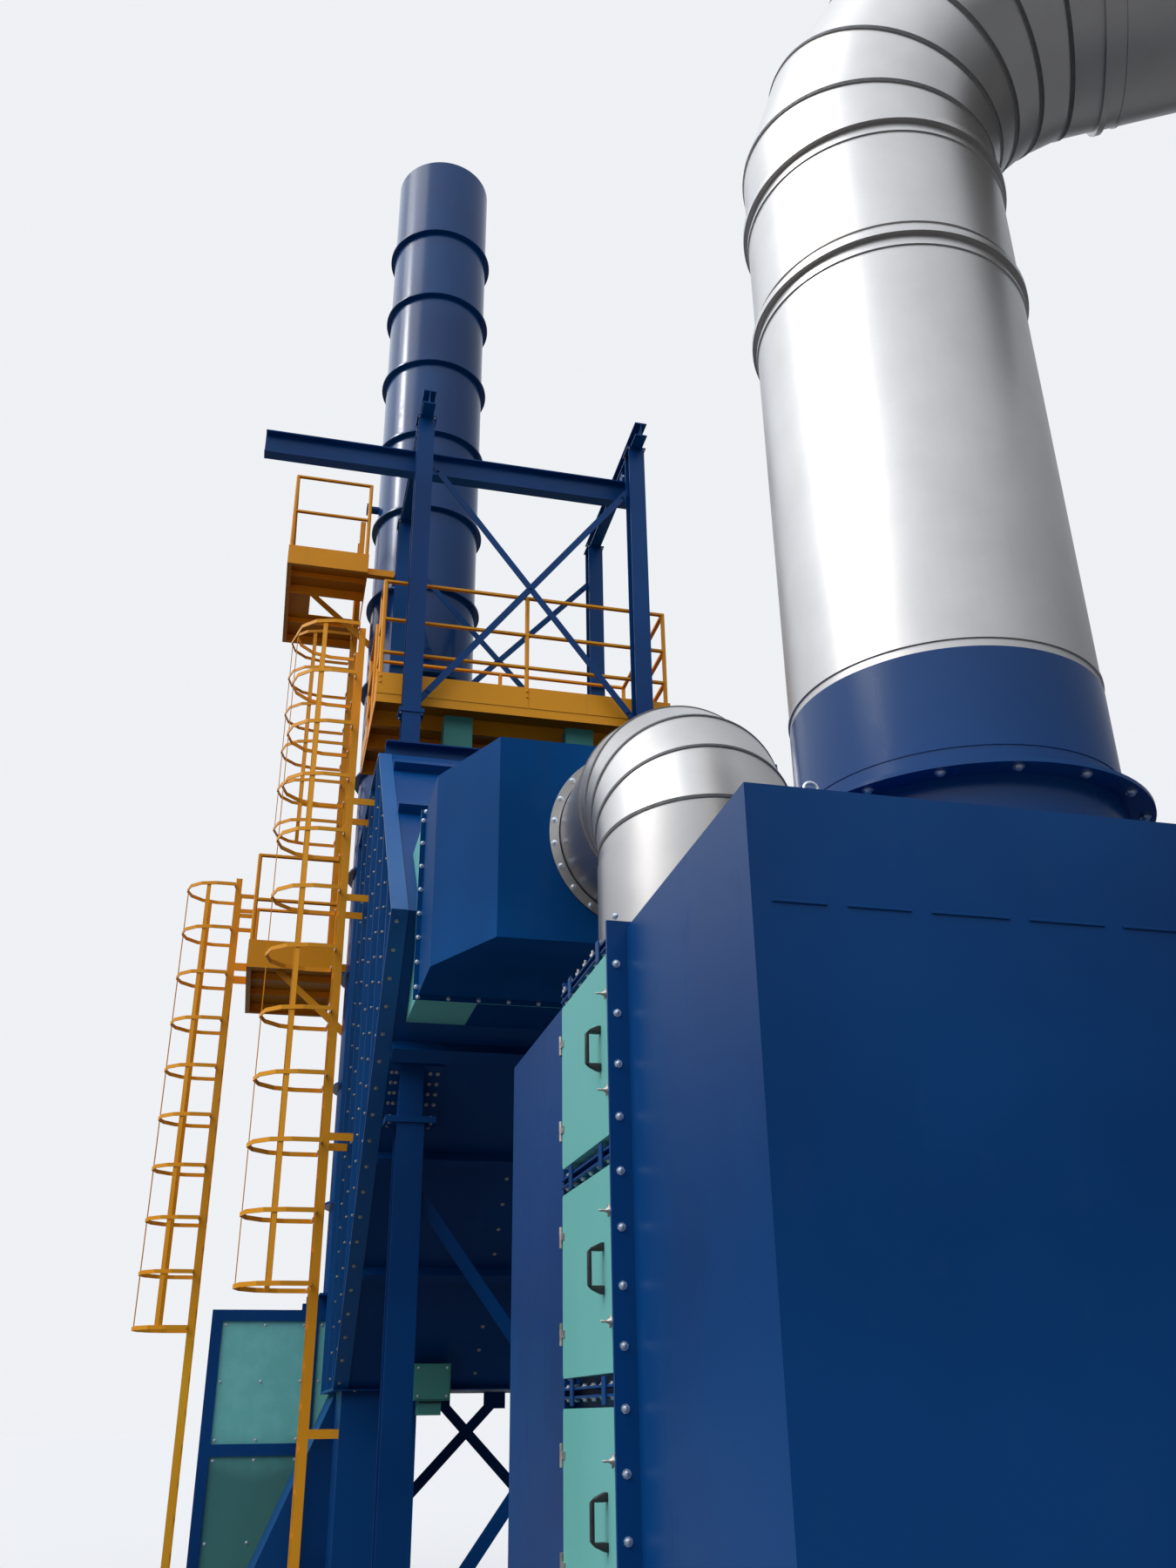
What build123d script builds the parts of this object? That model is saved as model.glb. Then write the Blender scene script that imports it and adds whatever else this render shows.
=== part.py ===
from build123d import *
import math
import os

os.makedirs("parts", exist_ok=True)

# Frame: X to the right along the filter housing front, Y to the rear, Z up.
# The origin is under the centre of the front left tower column base plate.

# Tower grid
GRID_W = 2120.0
MID_X = GRID_W / 2
TOWER_HALF = 1260.0
ELBOW_Y, ELBOW_Z = -830.0, 4530.0
ROOF_Y, ROOF_Z = 1290.0, 6690.0
FLOOR_Y, FLOOR_Z = 1840.0, 1790.0
REAR_Y = 3340.0
PLATE = 8.0
EDGE, EDGE_IN = 65.0, 45.0

# Filter housing
BOX_X, BOX_W = 275.0, 2085.0
BOX_Z, BOX_TOP = 800.0, 3195.0
BOX_Y0, BOX_Y1, BOX_Y2, BOX_Y3 = -5720.0, -4457.0, -3610.0, -2280.0
SHEET = 5.0
LIP, LIP_TOP, REAR_LIP, SEAM_LIP = 75.0, 25.0, 45.0, 56.0
LIP_T = 8.0
DOOR_Y0, DOOR_W, DOOR_T = -4425.0, 765.0, 60.0
DOOR_H, DOOR_PITCH, DOOR_Z0 = 646.0, 746.0, 977.0
DOOR_BORDER = 45.0
SEAT = 0.3

# Sides of the rolled shells, each a multiple of four
DUCT_SIDES = 24
STACK_SIDES = 24
HOOP_SIDES = 12
RAIL_SIDES = 6

# Stainless inlet duct
DUCT_X, DUCT_Y, DUCT_R = BOX_X + BOX_W / 2, -5060.0, 549.0
DUCT_WALL = 4.0
COLLAR_TOP = 3836.0
COLLAR_RIM, COLLAR_RIM_Z, COLLAR_RIM_T = 86.0, 180.0, 16.0
DUCT_JOINT = 5709.0
ELBOW_START = 6336.0
ELBOW_LEAD, ELBOW_TAIL = 83.0, 60.0
ELBOW_R = 1002.0
ELBOW_SLEEVE = 4.0
BAND_OUT, BAND_T = 22.0, 30.0
RUN_ANGLE = -29.5
RUN_LENGTH = 1500.0

# Crossover duct
CROSS_Y, CROSS_R, CROSS_BEND = -3040.0, 511.0, 551.0
CROSS_Z, CROSS_FLANGE = 4602.0, 55.0
HOOD_Y, HOOD_CORNER_Y, HOOD_END_Y = -2090.0, -1490.0, -900.0
HOOD_Z0, HOOD_Z1 = 3955.0, 5180.0
HOOD_HALF_FRONT, HOOD_HALF = 856.0, 1140.0
HOOD_LIP = 30.0

# Steel sections
COL = 180.0
GANTRY = 160.0
FLANGE_T, WEB_T = 12.0, 8.0
BASE_T = 20.0
FRONT_COL_TOP = 3440.0

# Top platform
PLAT_HALF = 1365.0
PLAT_Y0 = 1540.0
PLAT_Z, CHANNEL_H, TOE_H = 7330.0, 160.0, 140.0
DECK_Z = PLAT_Z + CHANNEL_H
RAIL_H = 1130.0
RAIL_R, RAIL_INSET = 21.0, 30.0
PAD_W, PAD_L = 260.0, 160.0

# Gantry
GAN_Y0, GAN_Y1 = 1420.0, 3140.0
GAN_CAP = 10440.0
SPLICE_Z = 7170.0
MONO_Y, MONO_TOP, MONO_H, MONO_W = 1760.0, 10290.0, 260.0, 120.0
MONO_X0, MONO_X1 = -1510.0, 2200.0

# The deck ends against the rear gantry columns
PLAT_Y1 = GAN_Y1 - GANTRY / 2 - SEAT

# Stack
STACK_X, STACK_Y, STACK_R = 341.0, 4240.0, 595.0
STACK_TOP = 16800.0
STACK_BASE = 2590.0
STACK_WALL = 6.0
RING_FIRST, RING_PITCH = 1300.0, 1100.0
RING_OUT, RING_T = 55.0, 24.0

# Stack platforms and ladders
LAND_X0, LAND_X1 = -1230.0, -350.0
SAMPLE_Y0, SAMPLE_Y1, SAMPLE_Z = 3640.0, 5340.0, 10220.0
MIDP_Y0, MIDP_Y1, MIDP_Z = 4140.0, 5850.0, 5758.0
SAMPLE_TOE, MIDP_TOE = 120.0, 163.0
LADDER_W = 450.0
STILE_W, STILE_T = 60.0, 12.0
RUNG, RUNG_PITCH = 25.0, 280.0
CAGE_D, CAGE_R = 600.0, 340.0
FAR_CAGE_D, FAR_CAGE_R = 520.0, 300.0
UP_CAGE_D = 700.0
NEAR_CAGE_Z, NEAR_PITCH, NEAR_HOOPS = 2490.0, 523.0, 12
FAR_CAGE_Z, FAR_PITCH, FAR_HOOPS = 2330.0, 467.0, 10
UP_CAGE_Z, UP_HOOPS = 7300.0, 6
HOOP_W, HOOP_T = 35.0, 8.0

# Junction box under the tower's lower slope
JBOX_X, JBOX_W, JBOX_Y0, JBOX_Y1 = 282.0, 262.0, 1500.0, 1740.0
JBOX_Z, JBOX_TOP = 1710.0, 1950.0

# Fan enclosure
FAN_X0, FAN_X1, FAN_Y0, FAN_Y1, FAN_TOP = -1200.0, 500.0, 3640.0, 5440.0, 2450.0
FAN_POST = 90.0


def block(x0, x1, y0, y1, z0, z1, mode=Mode.ADD):
    with BuildSketch(Plane.XY.offset(z0)) as shape:
        with Locations(((x0 + x1) / 2, (y0 + y1) / 2)):
            Rectangle(x1 - x0, y1 - y0)
    extrude(shape.sketch, amount=z1 - z0, mode=mode)


def bar(p, q, r, sides=RAIL_SIDES):
    # straight bar of few sides between two points
    start, end = Vector(*p), Vector(*q)
    with BuildSketch(Plane(origin=start, z_dir=end - start)) as shape:
        RegularPolygon(r, sides)
    extrude(shape.sketch, amount=(end - start).length)


def shell(x, y, z, outer, inner, tall, sides):
    # upright rolled ring or tube, its corners lying on the four axes
    with BuildSketch(Plane.XY.offset(z)) as shape:
        with Locations((x, y)):
            RegularPolygon(outer, sides)
            RegularPolygon(inner, sides, mode=Mode.SUBTRACT)
    extrude(shape.sketch, amount=tall)


def flat_bar(p, q, wide, thick, face):
    # flat bar whose broad side looks along face
    start, end = Vector(*p), Vector(*q)
    with BuildSketch(Plane(origin=start, x_dir=face, z_dir=end - start)) as shape:
        Rectangle(thick, wide)
    extrude(shape.sketch, amount=(end - start).length)


def h_bar(p, q, size, across, deep=None):
    # rolled H section, flanges facing along across
    deep = deep or size
    start, end = Vector(*p), Vector(*q)
    with BuildSketch(Plane(origin=start, x_dir=across, z_dir=end - start)) as shape:
        with Locations((deep / 2 - FLANGE_T / 2, 0), (FLANGE_T / 2 - deep / 2, 0)):
            Rectangle(FLANGE_T, size)
        Rectangle(deep - FLANGE_T, WEB_T)
    extrude(shape.sketch, amount=(end - start).length)


def frame_lip(x0, x1, z0, z1, y, out, over, thick):
    # rectangular flange ring standing proud of a box section, in a plane across Y
    with BuildSketch(Plane.XZ.offset(-y)) as shape:
        with Locations(((x0 + x1) / 2, (z0 + z1 + over - out) / 2)):
            Rectangle(x1 - x0 + 2 * out, z1 - z0 + out + over)
        with Locations(((x0 + x1) / 2, (z0 + z1) / 2)):
            Rectangle(x1 - x0, z1 - z0, mode=Mode.SUBTRACT)
    extrude(shape.sketch, amount=-thick)


def gores(bend, steps, lead, tail):
    # points of a mitred bend in a plane: first axis ahead, second axis to the side
    half = math.radians(90.0 / steps) / 2
    reach = bend * math.tan(half)
    spot, turn = (reach, 0.0), 0.0
    points = [(-lead, 0.0), spot]
    for number in range(1, steps):
        turn += 2 * half
        spot = (spot[0] + 2 * reach * math.cos(turn), spot[1] + 2 * reach * math.sin(turn))
        points.append(spot)
    points.append((bend, bend + tail))
    return points


# Housing sections
with BuildPart() as housing_inlet_plenum:
    block(BOX_X, BOX_X + BOX_W, BOX_Y0, BOX_Y1, BOX_Z, BOX_TOP)
    block(BOX_X + SHEET, BOX_X + BOX_W - SHEET, BOX_Y0 + SHEET, BOX_Y1, BOX_Z + SHEET, BOX_TOP - SHEET,
          Mode.SUBTRACT)
    with BuildSketch(Plane.XY.offset(BOX_TOP - SHEET)):
        with Locations((DUCT_X, DUCT_Y)):
            RegularPolygon(DUCT_R - DUCT_WALL, DUCT_SIDES)
    extrude(amount=SHEET, mode=Mode.SUBTRACT)
    frame_lip(BOX_X, BOX_X + BOX_W, BOX_Z, BOX_TOP, BOX_Y1 - LIP_T, LIP, LIP_TOP, LIP_T)
housing_inlet_plenum.part.label = "housing_inlet_plenum"
export_step(housing_inlet_plenum.part, "parts/housing_inlet_plenum.step")

with BuildPart() as housing_filter_section:
    block(BOX_X, BOX_X + BOX_W, BOX_Y1, BOX_Y2, BOX_Z, BOX_TOP)
    block(BOX_X + SHEET, BOX_X + BOX_W - SHEET, BOX_Y1, BOX_Y2, BOX_Z + SHEET, BOX_TOP - SHEET,
          Mode.SUBTRACT)
    frame_lip(BOX_X, BOX_X + BOX_W, BOX_Z, BOX_TOP, BOX_Y1, LIP, LIP_TOP, LIP_T)
    frame_lip(BOX_X, BOX_X + BOX_W, BOX_Z, BOX_TOP, BOX_Y2 - LIP_T, REAR_LIP, REAR_LIP, LIP_T)
    for number in range(3):
        low = DOOR_Z0 + number * DOOR_PITCH
        block(BOX_X, BOX_X + SHEET, DOOR_Y0 + DOOR_BORDER, DOOR_Y0 + DOOR_W - DOOR_BORDER,
              low + DOOR_BORDER, low + DOOR_H - DOOR_BORDER, Mode.SUBTRACT)
    for number in range(2):
        seam = DOOR_Z0 + DOOR_H + number * DOOR_PITCH + (DOOR_PITCH - DOOR_H) / 2
        for offset in (-14.0, 14.0):
            block(BOX_X - SEAM_LIP, BOX_X, BOX_Y1 + LIP_T, BOX_Y2 - LIP_T,
                  seam + offset - LIP_T / 2, seam + offset + LIP_T / 2)
housing_filter_section.part.label = "housing_filter_section"
export_step(housing_filter_section.part, "parts/housing_filter_section.step")

with BuildPart() as housing_outlet_plenum:
    block(BOX_X, BOX_X + BOX_W, BOX_Y2, BOX_Y3, BOX_Z, BOX_TOP)
    block(BOX_X + SHEET, BOX_X + BOX_W - SHEET, BOX_Y2, BOX_Y3 - SHEET, BOX_Z + SHEET, BOX_TOP - SHEET,
          Mode.SUBTRACT)
    with BuildSketch(Plane.XY.offset(BOX_TOP - SHEET)):
        with Locations((MID_X, CROSS_Y)):
            RegularPolygon(CROSS_R - DUCT_WALL, DUCT_SIDES)
    extrude(amount=SHEET, mode=Mode.SUBTRACT)
    frame_lip(BOX_X, BOX_X + BOX_W, BOX_Z, BOX_TOP, BOX_Y2, REAR_LIP, REAR_LIP, LIP_T)
housing_outlet_plenum.part.label = "housing_outlet_plenum"
export_step(housing_outlet_plenum.part, "parts/housing_outlet_plenum.step")

with BuildPart() as housing_base_frame:
    for x in (BOX_X + 60, BOX_X + BOX_W - 60):
        block(x - 60, x + 60, BOX_Y0, BOX_Y3, BOX_Z - LIP - 140, BOX_Z - LIP)
        for y in (BOX_Y0 + 150, (BOX_Y0 + BOX_Y3) / 2, BOX_Y3 - 150):
            block(x - 60, x + 60, y - 60, y + 60, BASE_T, BOX_Z - LIP - 140)
            block(x - 120, x + 120, y - 120, y + 120, 0, BASE_T)
    for y in (BOX_Y0 + 60, (BOX_Y0 + BOX_Y3) / 2, BOX_Y3 - 60):
        block(BOX_X + 60, BOX_X + BOX_W - 60, y - 60, y + 60, BOX_Z - LIP - 140, BOX_Z - LIP)
    for y0, y1 in ((BOX_Y0, BOX_Y1 - LIP_T - SEAT), (BOX_Y2 + LIP_T + SEAT, BOX_Y3),
                   (BOX_Y1 + LIP_T + SEAT, BOX_Y2 - LIP_T - SEAT)):
        for x in (BOX_X + 60, BOX_X + BOX_W - 60):
            block(x - 40, x + 40, y0, y1, BOX_Z - LIP, BOX_Z - SEAT)
housing_base_frame.part.label = "housing_base_frame"
export_step(housing_base_frame.part, "parts/housing_base_frame.step")

# Doors with their bridge handles
for number, place in enumerate(("bottom", "middle", "top")):
    low = DOOR_Z0 + number * DOOR_PITCH
    face = BOX_X - SEAT - DOOR_T
    with BuildPart() as door:
        block(face, BOX_X - SEAT, DOOR_Y0, DOOR_Y0 + DOOR_W, low, low + DOOR_H)
        chamfer(door.edges().filter_by(Axis.X), 10)
        block(face + 3, BOX_X - SEAT, DOOR_Y0 + 30, DOOR_Y0 + DOOR_W - 30, low + 30, low + DOOR_H - 30,
              Mode.SUBTRACT)
    door.part.label = "door_" + place
    export_step(door.part, "parts/door_" + place + ".step")

    grip_y = DOOR_Y0 + 135
    grip_z = low + DOOR_H / 2
    with BuildPart() as handle:
        with BuildSketch(Plane.XZ.offset(-grip_y - 14)):
            with BuildLine():
                Polyline((face, grip_z - 85), (face, grip_z - 60), (face - 40, grip_z - 52),
                         (face - 40, grip_z + 52), (face, grip_z + 60), (face, grip_z + 85),
                         (face - 12, grip_z + 85), (face - 56, grip_z + 70), (face - 56, grip_z - 70),
                         (face - 12, grip_z - 85), close=True)
            make_face()
        extrude(amount=28)
    handle.part.label = "handle_" + place
    export_step(handle.part, "parts/handle_" + place + ".step")

# Stainless inlet duct
with BuildPart() as inlet_collar:
    shell(DUCT_X, DUCT_Y, BOX_TOP + COLLAR_RIM_Z, DUCT_R + COLLAR_RIM, DUCT_R - DUCT_WALL, COLLAR_RIM_T,
          DUCT_SIDES)
    shell(DUCT_X, DUCT_Y, BOX_TOP, DUCT_R + 6, DUCT_R - DUCT_WALL, COLLAR_TOP - BOX_TOP, DUCT_SIDES)
inlet_collar.part.label = "inlet_collar"
export_step(inlet_collar.part, "parts/inlet_collar.step")


def duct_section(z0, z1):
    # plain tube with a clamp band round its top end
    shell(DUCT_X, DUCT_Y, z0, DUCT_R, DUCT_R - DUCT_WALL, z1 - z0, DUCT_SIDES)
    shell(DUCT_X, DUCT_Y, z1 - BAND_T, DUCT_R + BAND_OUT, DUCT_R - DUCT_WALL, BAND_T, DUCT_SIDES)


with BuildPart() as inlet_duct_lower:
    duct_section(COLLAR_TOP, DUCT_JOINT)
inlet_duct_lower.part.label = "inlet_duct_lower"
export_step(inlet_duct_lower.part, "parts/inlet_duct_lower.step")

with BuildPart() as inlet_duct_upper:
    duct_section(DUCT_JOINT, ELBOW_START)
inlet_duct_upper.part.label = "inlet_duct_upper"
export_step(inlet_duct_upper.part, "parts/inlet_duct_upper.step")

RUN = Vector(math.cos(math.radians(RUN_ANGLE)), math.sin(math.radians(RUN_ANGLE)), 0)
with BuildPart() as inlet_elbow:
    corners = []
    for ahead, side in gores(ELBOW_R, 5, ELBOW_LEAD, ELBOW_TAIL):
        corners.append(Vector(DUCT_X, DUCT_Y, ELBOW_START + ELBOW_LEAD + ahead) + RUN * side)
    with BuildLine() as elbow_path:
        Polyline(*corners)
    with BuildSketch(Plane(origin=corners[0], x_dir=RUN, z_dir=(0, 0, 1))):
        RegularPolygon(DUCT_R + ELBOW_SLEEVE, DUCT_SIDES)
        RegularPolygon(DUCT_R + ELBOW_SLEEVE - DUCT_WALL, DUCT_SIDES, mode=Mode.SUBTRACT)
    sweep(path=elbow_path.line, transition=Transition.RIGHT)
inlet_elbow.part.label = "inlet_elbow"
export_step(inlet_elbow.part, "parts/inlet_elbow.step")

with BuildPart() as inlet_run:
    start = corners[-1]
    for along, outer, deep in ((0, DUCT_R, RUN_LENGTH), (0, DUCT_R + BAND_OUT, BAND_T),
                               (RUN_LENGTH - 12, DUCT_R + 45, 12)):
        with BuildSketch(Plane(origin=start + RUN * along, x_dir=(0, 0, 1), z_dir=RUN)):
            RegularPolygon(outer, DUCT_SIDES)
            RegularPolygon(DUCT_R - DUCT_WALL, DUCT_SIDES, mode=Mode.SUBTRACT)
        extrude(amount=deep)
inlet_run.part.label = "inlet_run"
export_step(inlet_run.part, "parts/inlet_run.step")

# Crossover duct
BEND_START = CROSS_Z - CROSS_BEND
with BuildPart() as crossover_riser:
    shell(MID_X, CROSS_Y, BOX_TOP, CROSS_R, CROSS_R - DUCT_WALL, BEND_START - BOX_TOP, DUCT_SIDES)
    shell(MID_X, CROSS_Y, BOX_TOP, CROSS_R + 20, CROSS_R - DUCT_WALL, 40, DUCT_SIDES)
crossover_riser.part.label = "crossover_riser"
export_step(crossover_riser.part, "parts/crossover_riser.step")

with BuildPart() as crossover_elbow:
    corners = []
    for ahead, side in gores(CROSS_BEND, 5, 0.0, HOOD_Y - CROSS_Y - CROSS_BEND):
        corners.append(Vector(MID_X, CROSS_Y + side, BEND_START + ahead))
    with BuildLine() as cross_path:
        Polyline(*corners)
    with BuildSketch(Plane.XY.offset(BEND_START)):
        with Locations((MID_X, CROSS_Y)):
            RegularPolygon(CROSS_R, DUCT_SIDES)
            RegularPolygon(CROSS_R - DUCT_WALL, DUCT_SIDES, mode=Mode.SUBTRACT)
    sweep(path=cross_path.line, transition=Transition.RIGHT)
    with BuildSketch(Plane.XZ.offset(-HOOD_Y)):
        with Locations((MID_X, CROSS_Z)):
            RegularPolygon(CROSS_R + CROSS_FLANGE, DUCT_SIDES)
            RegularPolygon(CROSS_R - DUCT_WALL, DUCT_SIDES, mode=Mode.SUBTRACT)
    extrude(amount=12)
crossover_elbow.part.label = "crossover_elbow"
export_step(crossover_elbow.part, "parts/crossover_elbow.step")


def hood_plan(inset):
    # plan of the inlet hood, narrow at the front and straight at the neck
    return ((MID_X - HOOD_HALF_FRONT + inset, HOOD_Y + inset), (MID_X + HOOD_HALF_FRONT - inset, HOOD_Y + inset),
            (MID_X + HOOD_HALF - inset, HOOD_CORNER_Y + inset * 0.5), (MID_X + HOOD_HALF - inset, HOOD_END_Y),
            (MID_X - HOOD_HALF + inset, HOOD_END_Y), (MID_X - HOOD_HALF + inset, HOOD_CORNER_Y + inset * 0.5))


with BuildPart() as inlet_hood:
    with BuildSketch(Plane.XY.offset(HOOD_Z0)):
        with BuildLine():
            Polyline(*hood_plan(0), close=True)
        make_face()
    extrude(amount=HOOD_Z1 - HOOD_Z0)
    with BuildSketch(Plane.XY.offset(HOOD_Z0 + SHEET)):
        with BuildLine():
            Polyline(*hood_plan(SHEET), close=True)
        make_face()
    extrude(amount=HOOD_Z1 - HOOD_Z0 - 2 * SHEET, mode=Mode.SUBTRACT)
    with BuildSketch(Plane.XZ.offset(-HOOD_Y)):
        with Locations((MID_X, CROSS_Z)):
            RegularPolygon(CROSS_R - DUCT_WALL, DUCT_SIDES)
    extrude(amount=-SHEET, mode=Mode.SUBTRACT)
    frame_lip(MID_X - HOOD_HALF, MID_X + HOOD_HALF, HOOD_Z0, HOOD_Z1, HOOD_END_Y - LIP_T, HOOD_LIP, HOOD_LIP, LIP_T)
inlet_hood.part.label = "inlet_hood"
export_step(inlet_hood.part, "parts/inlet_hood.step")

# Tower casing
UP_SLOPE = (ROOF_Z - ELBOW_Z) / (ROOF_Y - ELBOW_Y)
DOWN_SLOPE = (ELBOW_Z - FLOOR_Z) / (FLOOR_Y - ELBOW_Y)


def slope_y(z):
    # front face of the tower at height z
    if z > ELBOW_Z:
        return ELBOW_Y + (z - ELBOW_Z) / UP_SLOPE
    return ELBOW_Y + (ELBOW_Z - z) / DOWN_SLOPE


def slope_z_low(y):
    return ELBOW_Z - (y - ELBOW_Y) * DOWN_SLOPE


def slope_z_high(y):
    return ELBOW_Z + (y - ELBOW_Y) * UP_SLOPE


with BuildPart() as hood_adapter:
    with BuildSketch(Plane.YZ.offset(MID_X - HOOD_HALF)):
        with BuildLine():
            Polyline((HOOD_END_Y, HOOD_Z0), (slope_y(HOOD_Z0) - SEAT, HOOD_Z0), (ELBOW_Y - SEAT, ELBOW_Z),
                     (slope_y(HOOD_Z1) - SEAT, HOOD_Z1), (HOOD_END_Y, HOOD_Z1), close=True)
        make_face()
    extrude(amount=2 * HOOD_HALF)
    block(MID_X - HOOD_HALF + SHEET, MID_X + HOOD_HALF - SHEET, HOOD_END_Y, REAR_Y, HOOD_Z0 + SHEET,
          HOOD_Z1 - SHEET, Mode.SUBTRACT)
    frame_lip(MID_X - HOOD_HALF, MID_X + HOOD_HALF, HOOD_Z0, HOOD_Z1, HOOD_END_Y, HOOD_LIP, HOOD_LIP, LIP_T)
hood_adapter.part.label = "hood_adapter"
export_step(hood_adapter.part, "parts/hood_adapter.step")

with BuildPart() as tower_casing:
    with BuildSketch(Plane.YZ.offset(MID_X - TOWER_HALF)):
        with BuildLine():
            Polyline((FLOOR_Y, FLOOR_Z), (ELBOW_Y, ELBOW_Z), (ROOF_Y, ROOF_Z), (REAR_Y, ROOF_Z),
                     (REAR_Y, FLOOR_Z), close=True)
        make_face()
    extrude(amount=2 * TOWER_HALF)
    with BuildSketch(Plane.YZ.offset(MID_X - TOWER_HALF + PLATE)):
        with BuildLine():
            Polyline((FLOOR_Y + 1.3 * PLATE, FLOOR_Z), (ELBOW_Y + 1.4 * PLATE, ELBOW_Z),
                     (ROOF_Y + 1.4 * PLATE, ROOF_Z), (REAR_Y - PLATE, ROOF_Z), (REAR_Y - PLATE, FLOOR_Z),
                     close=True)
        make_face()
    extrude(amount=2 * TOWER_HALF - 2 * PLATE, mode=Mode.SUBTRACT)
    block(MID_X - HOOD_HALF + SHEET, MID_X + HOOD_HALF - SHEET, ELBOW_Y - 10, FLOOR_Y, HOOD_Z0 + SHEET,
          HOOD_Z1 - SHEET, Mode.SUBTRACT)
    block(STACK_X - 400, STACK_X + 400, REAR_Y - PLATE, REAR_Y, FLOOR_Z + 60, FLOOR_Z + 400, Mode.SUBTRACT)
tower_casing.part.label = "tower_casing"
export_step(tower_casing.part, "parts/tower_casing.step")

with BuildPart() as tower_roof:
    block(MID_X - TOWER_HALF - EDGE, MID_X + TOWER_HALF + EDGE, ROOF_Y, REAR_Y + EDGE, ROOF_Z, ROOF_Z + PLATE)
tower_roof.part.label = "tower_roof"
export_step(tower_roof.part, "parts/tower_roof.step")

with BuildPart() as tower_floor:
    block(MID_X - TOWER_HALF - EDGE, MID_X + TOWER_HALF + EDGE, FLOOR_Y - EDGE, REAR_Y + EDGE,
          FLOOR_Z - PLATE, FLOOR_Z)
tower_floor.part.label = "tower_floor"
export_step(tower_floor.part, "parts/tower_floor.step")

# Ribs across the two slopes
with BuildPart() as tower_front_ribs:
    for y, half, deep, top in ((1035.0, 30, 80, True), (370.0, 30, 80, True), (-135.0, 50, 100, False),
                               (447.0, 30, 80, False), (1109.0, 30, 80, False)):
        z = slope_z_high(y) if top else slope_z_low(y)
        tilt = (ROOF_Y - ELBOW_Y, ROOF_Z - ELBOW_Z) if top else (FLOOR_Y - ELBOW_Y, FLOOR_Z - ELBOW_Z)
        normal = (-tilt[1], tilt[0]) if top else (tilt[1], -tilt[0])
        length = math.hypot(*normal)
        out = (normal[0] / length, normal[1] / length)
        along = (tilt[0] / length, tilt[1] / length)
        with BuildSketch(Plane.YZ.offset(MID_X - TOWER_HALF + EDGE_IN)):
            with BuildLine():
                Polyline(*[(y + a * along[0] + b * out[0], z + a * along[1] + b * out[1])
                           for a, b in ((-half, 0), (half, 0), (half, deep), (-half, deep))], close=True)
            make_face()
        extrude(amount=2 * (TOWER_HALF - EDGE_IN))
tower_front_ribs.part.label = "tower_front_ribs"
export_step(tower_front_ribs.part, "parts/tower_front_ribs.step")

# Edge flanges and upright ribs on the two side walls
with BuildPart() as tower_side_ribs:
    for side in (-1, 1):
        wall = MID_X + side * TOWER_HALF
        inner = wall if side > 0 else wall - EDGE
        for shift, lift, mode in ((0, 0, Mode.ADD), (1, 10, Mode.SUBTRACT)):
            with BuildSketch(Plane.YZ.offset(inner)):
                with BuildLine():
                    Polyline((FLOOR_Y + 14 * shift, FLOOR_Z + lift), (ELBOW_Y + 16 * shift, ELBOW_Z),
                             (ROOF_Y + 6 * shift, ROOF_Z - lift), (REAR_Y - lift, ROOF_Z - lift),
                             (REAR_Y - lift, FLOOR_Z + lift), close=True)
                make_face()
            extrude(amount=EDGE, mode=mode)
        for y in (-430.0, 170.0, 770.0, 1370.0, 2020.0, 2680.0):
            low = slope_z_low(y) if y < FLOOR_Y else FLOOR_Z
            high = slope_z_high(y) if y < ROOF_Y else ROOF_Z
            for step in (-12.0, 12.0):
                block(inner, inner + EDGE, y + step - 4, y + step + 4, low + 5, high - 5)
        with BuildSketch(Plane.YZ.offset(inner if side < 0 else inner - EDGE_IN)):
            with BuildLine():
                Polyline((FLOOR_Y, FLOOR_Z), (ELBOW_Y, ELBOW_Z), (ROOF_Y, ROOF_Z), (ROOF_Y - 1.4 * PLATE, ROOF_Z),
                         (ELBOW_Y - 1.4 * PLATE, ELBOW_Z), (FLOOR_Y - 1.4 * PLATE, FLOOR_Z), close=True)
            make_face()
        extrude(amount=EDGE + EDGE_IN)
tower_side_ribs.part.label = "tower_side_ribs"
export_step(tower_side_ribs.part, "parts/tower_side_ribs.step")

# Front support frame
with BuildPart() as front_support_frame:
    for x in (0.0, GRID_W):
        block(x - 150, x + 150, -150, 150, 0, BASE_T)
        h_bar((x, 0, BASE_T), (x, 0, FRONT_COL_TOP - 100), COL, (0, 1, 0))
        block(x - 165, x + 165, -105, 105, FRONT_COL_TOP - 100, FRONT_COL_TOP - 60)
        with BuildSketch(Plane.YZ.offset(x - 78)):
            with BuildLine():
                Polyline((-60, FRONT_COL_TOP - 60), (100, FRONT_COL_TOP - 60), (100, slope_z_low(100) - 10),
                         (-60, slope_z_low(-60) - 10), close=True)
            make_face()
        extrude(amount=156)
        # bolted head plate under the slope, clear of the edge bar
        with BuildSketch(Plane.YZ.offset(x - (150 if x < MID_X else 215))):
            with BuildLine():
                Polyline((-60, slope_z_low(-60) - SEAT), (260, slope_z_low(260) - SEAT),
                         (260, slope_z_low(260) - 20), (-60, slope_z_low(-60) - 20), close=True)
            make_face()
        extrude(amount=365)
    flat_bar((0, 0, 200), (GRID_W, 0, 3000), 80, 10, (0, 1, 0))
    flat_bar((0, 0, 3000), (GRID_W, 0, 200), 80, 10, (0, 1, 0))
front_support_frame.part.label = "front_support_frame"
export_step(front_support_frame.part, "parts/front_support_frame.step")

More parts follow.
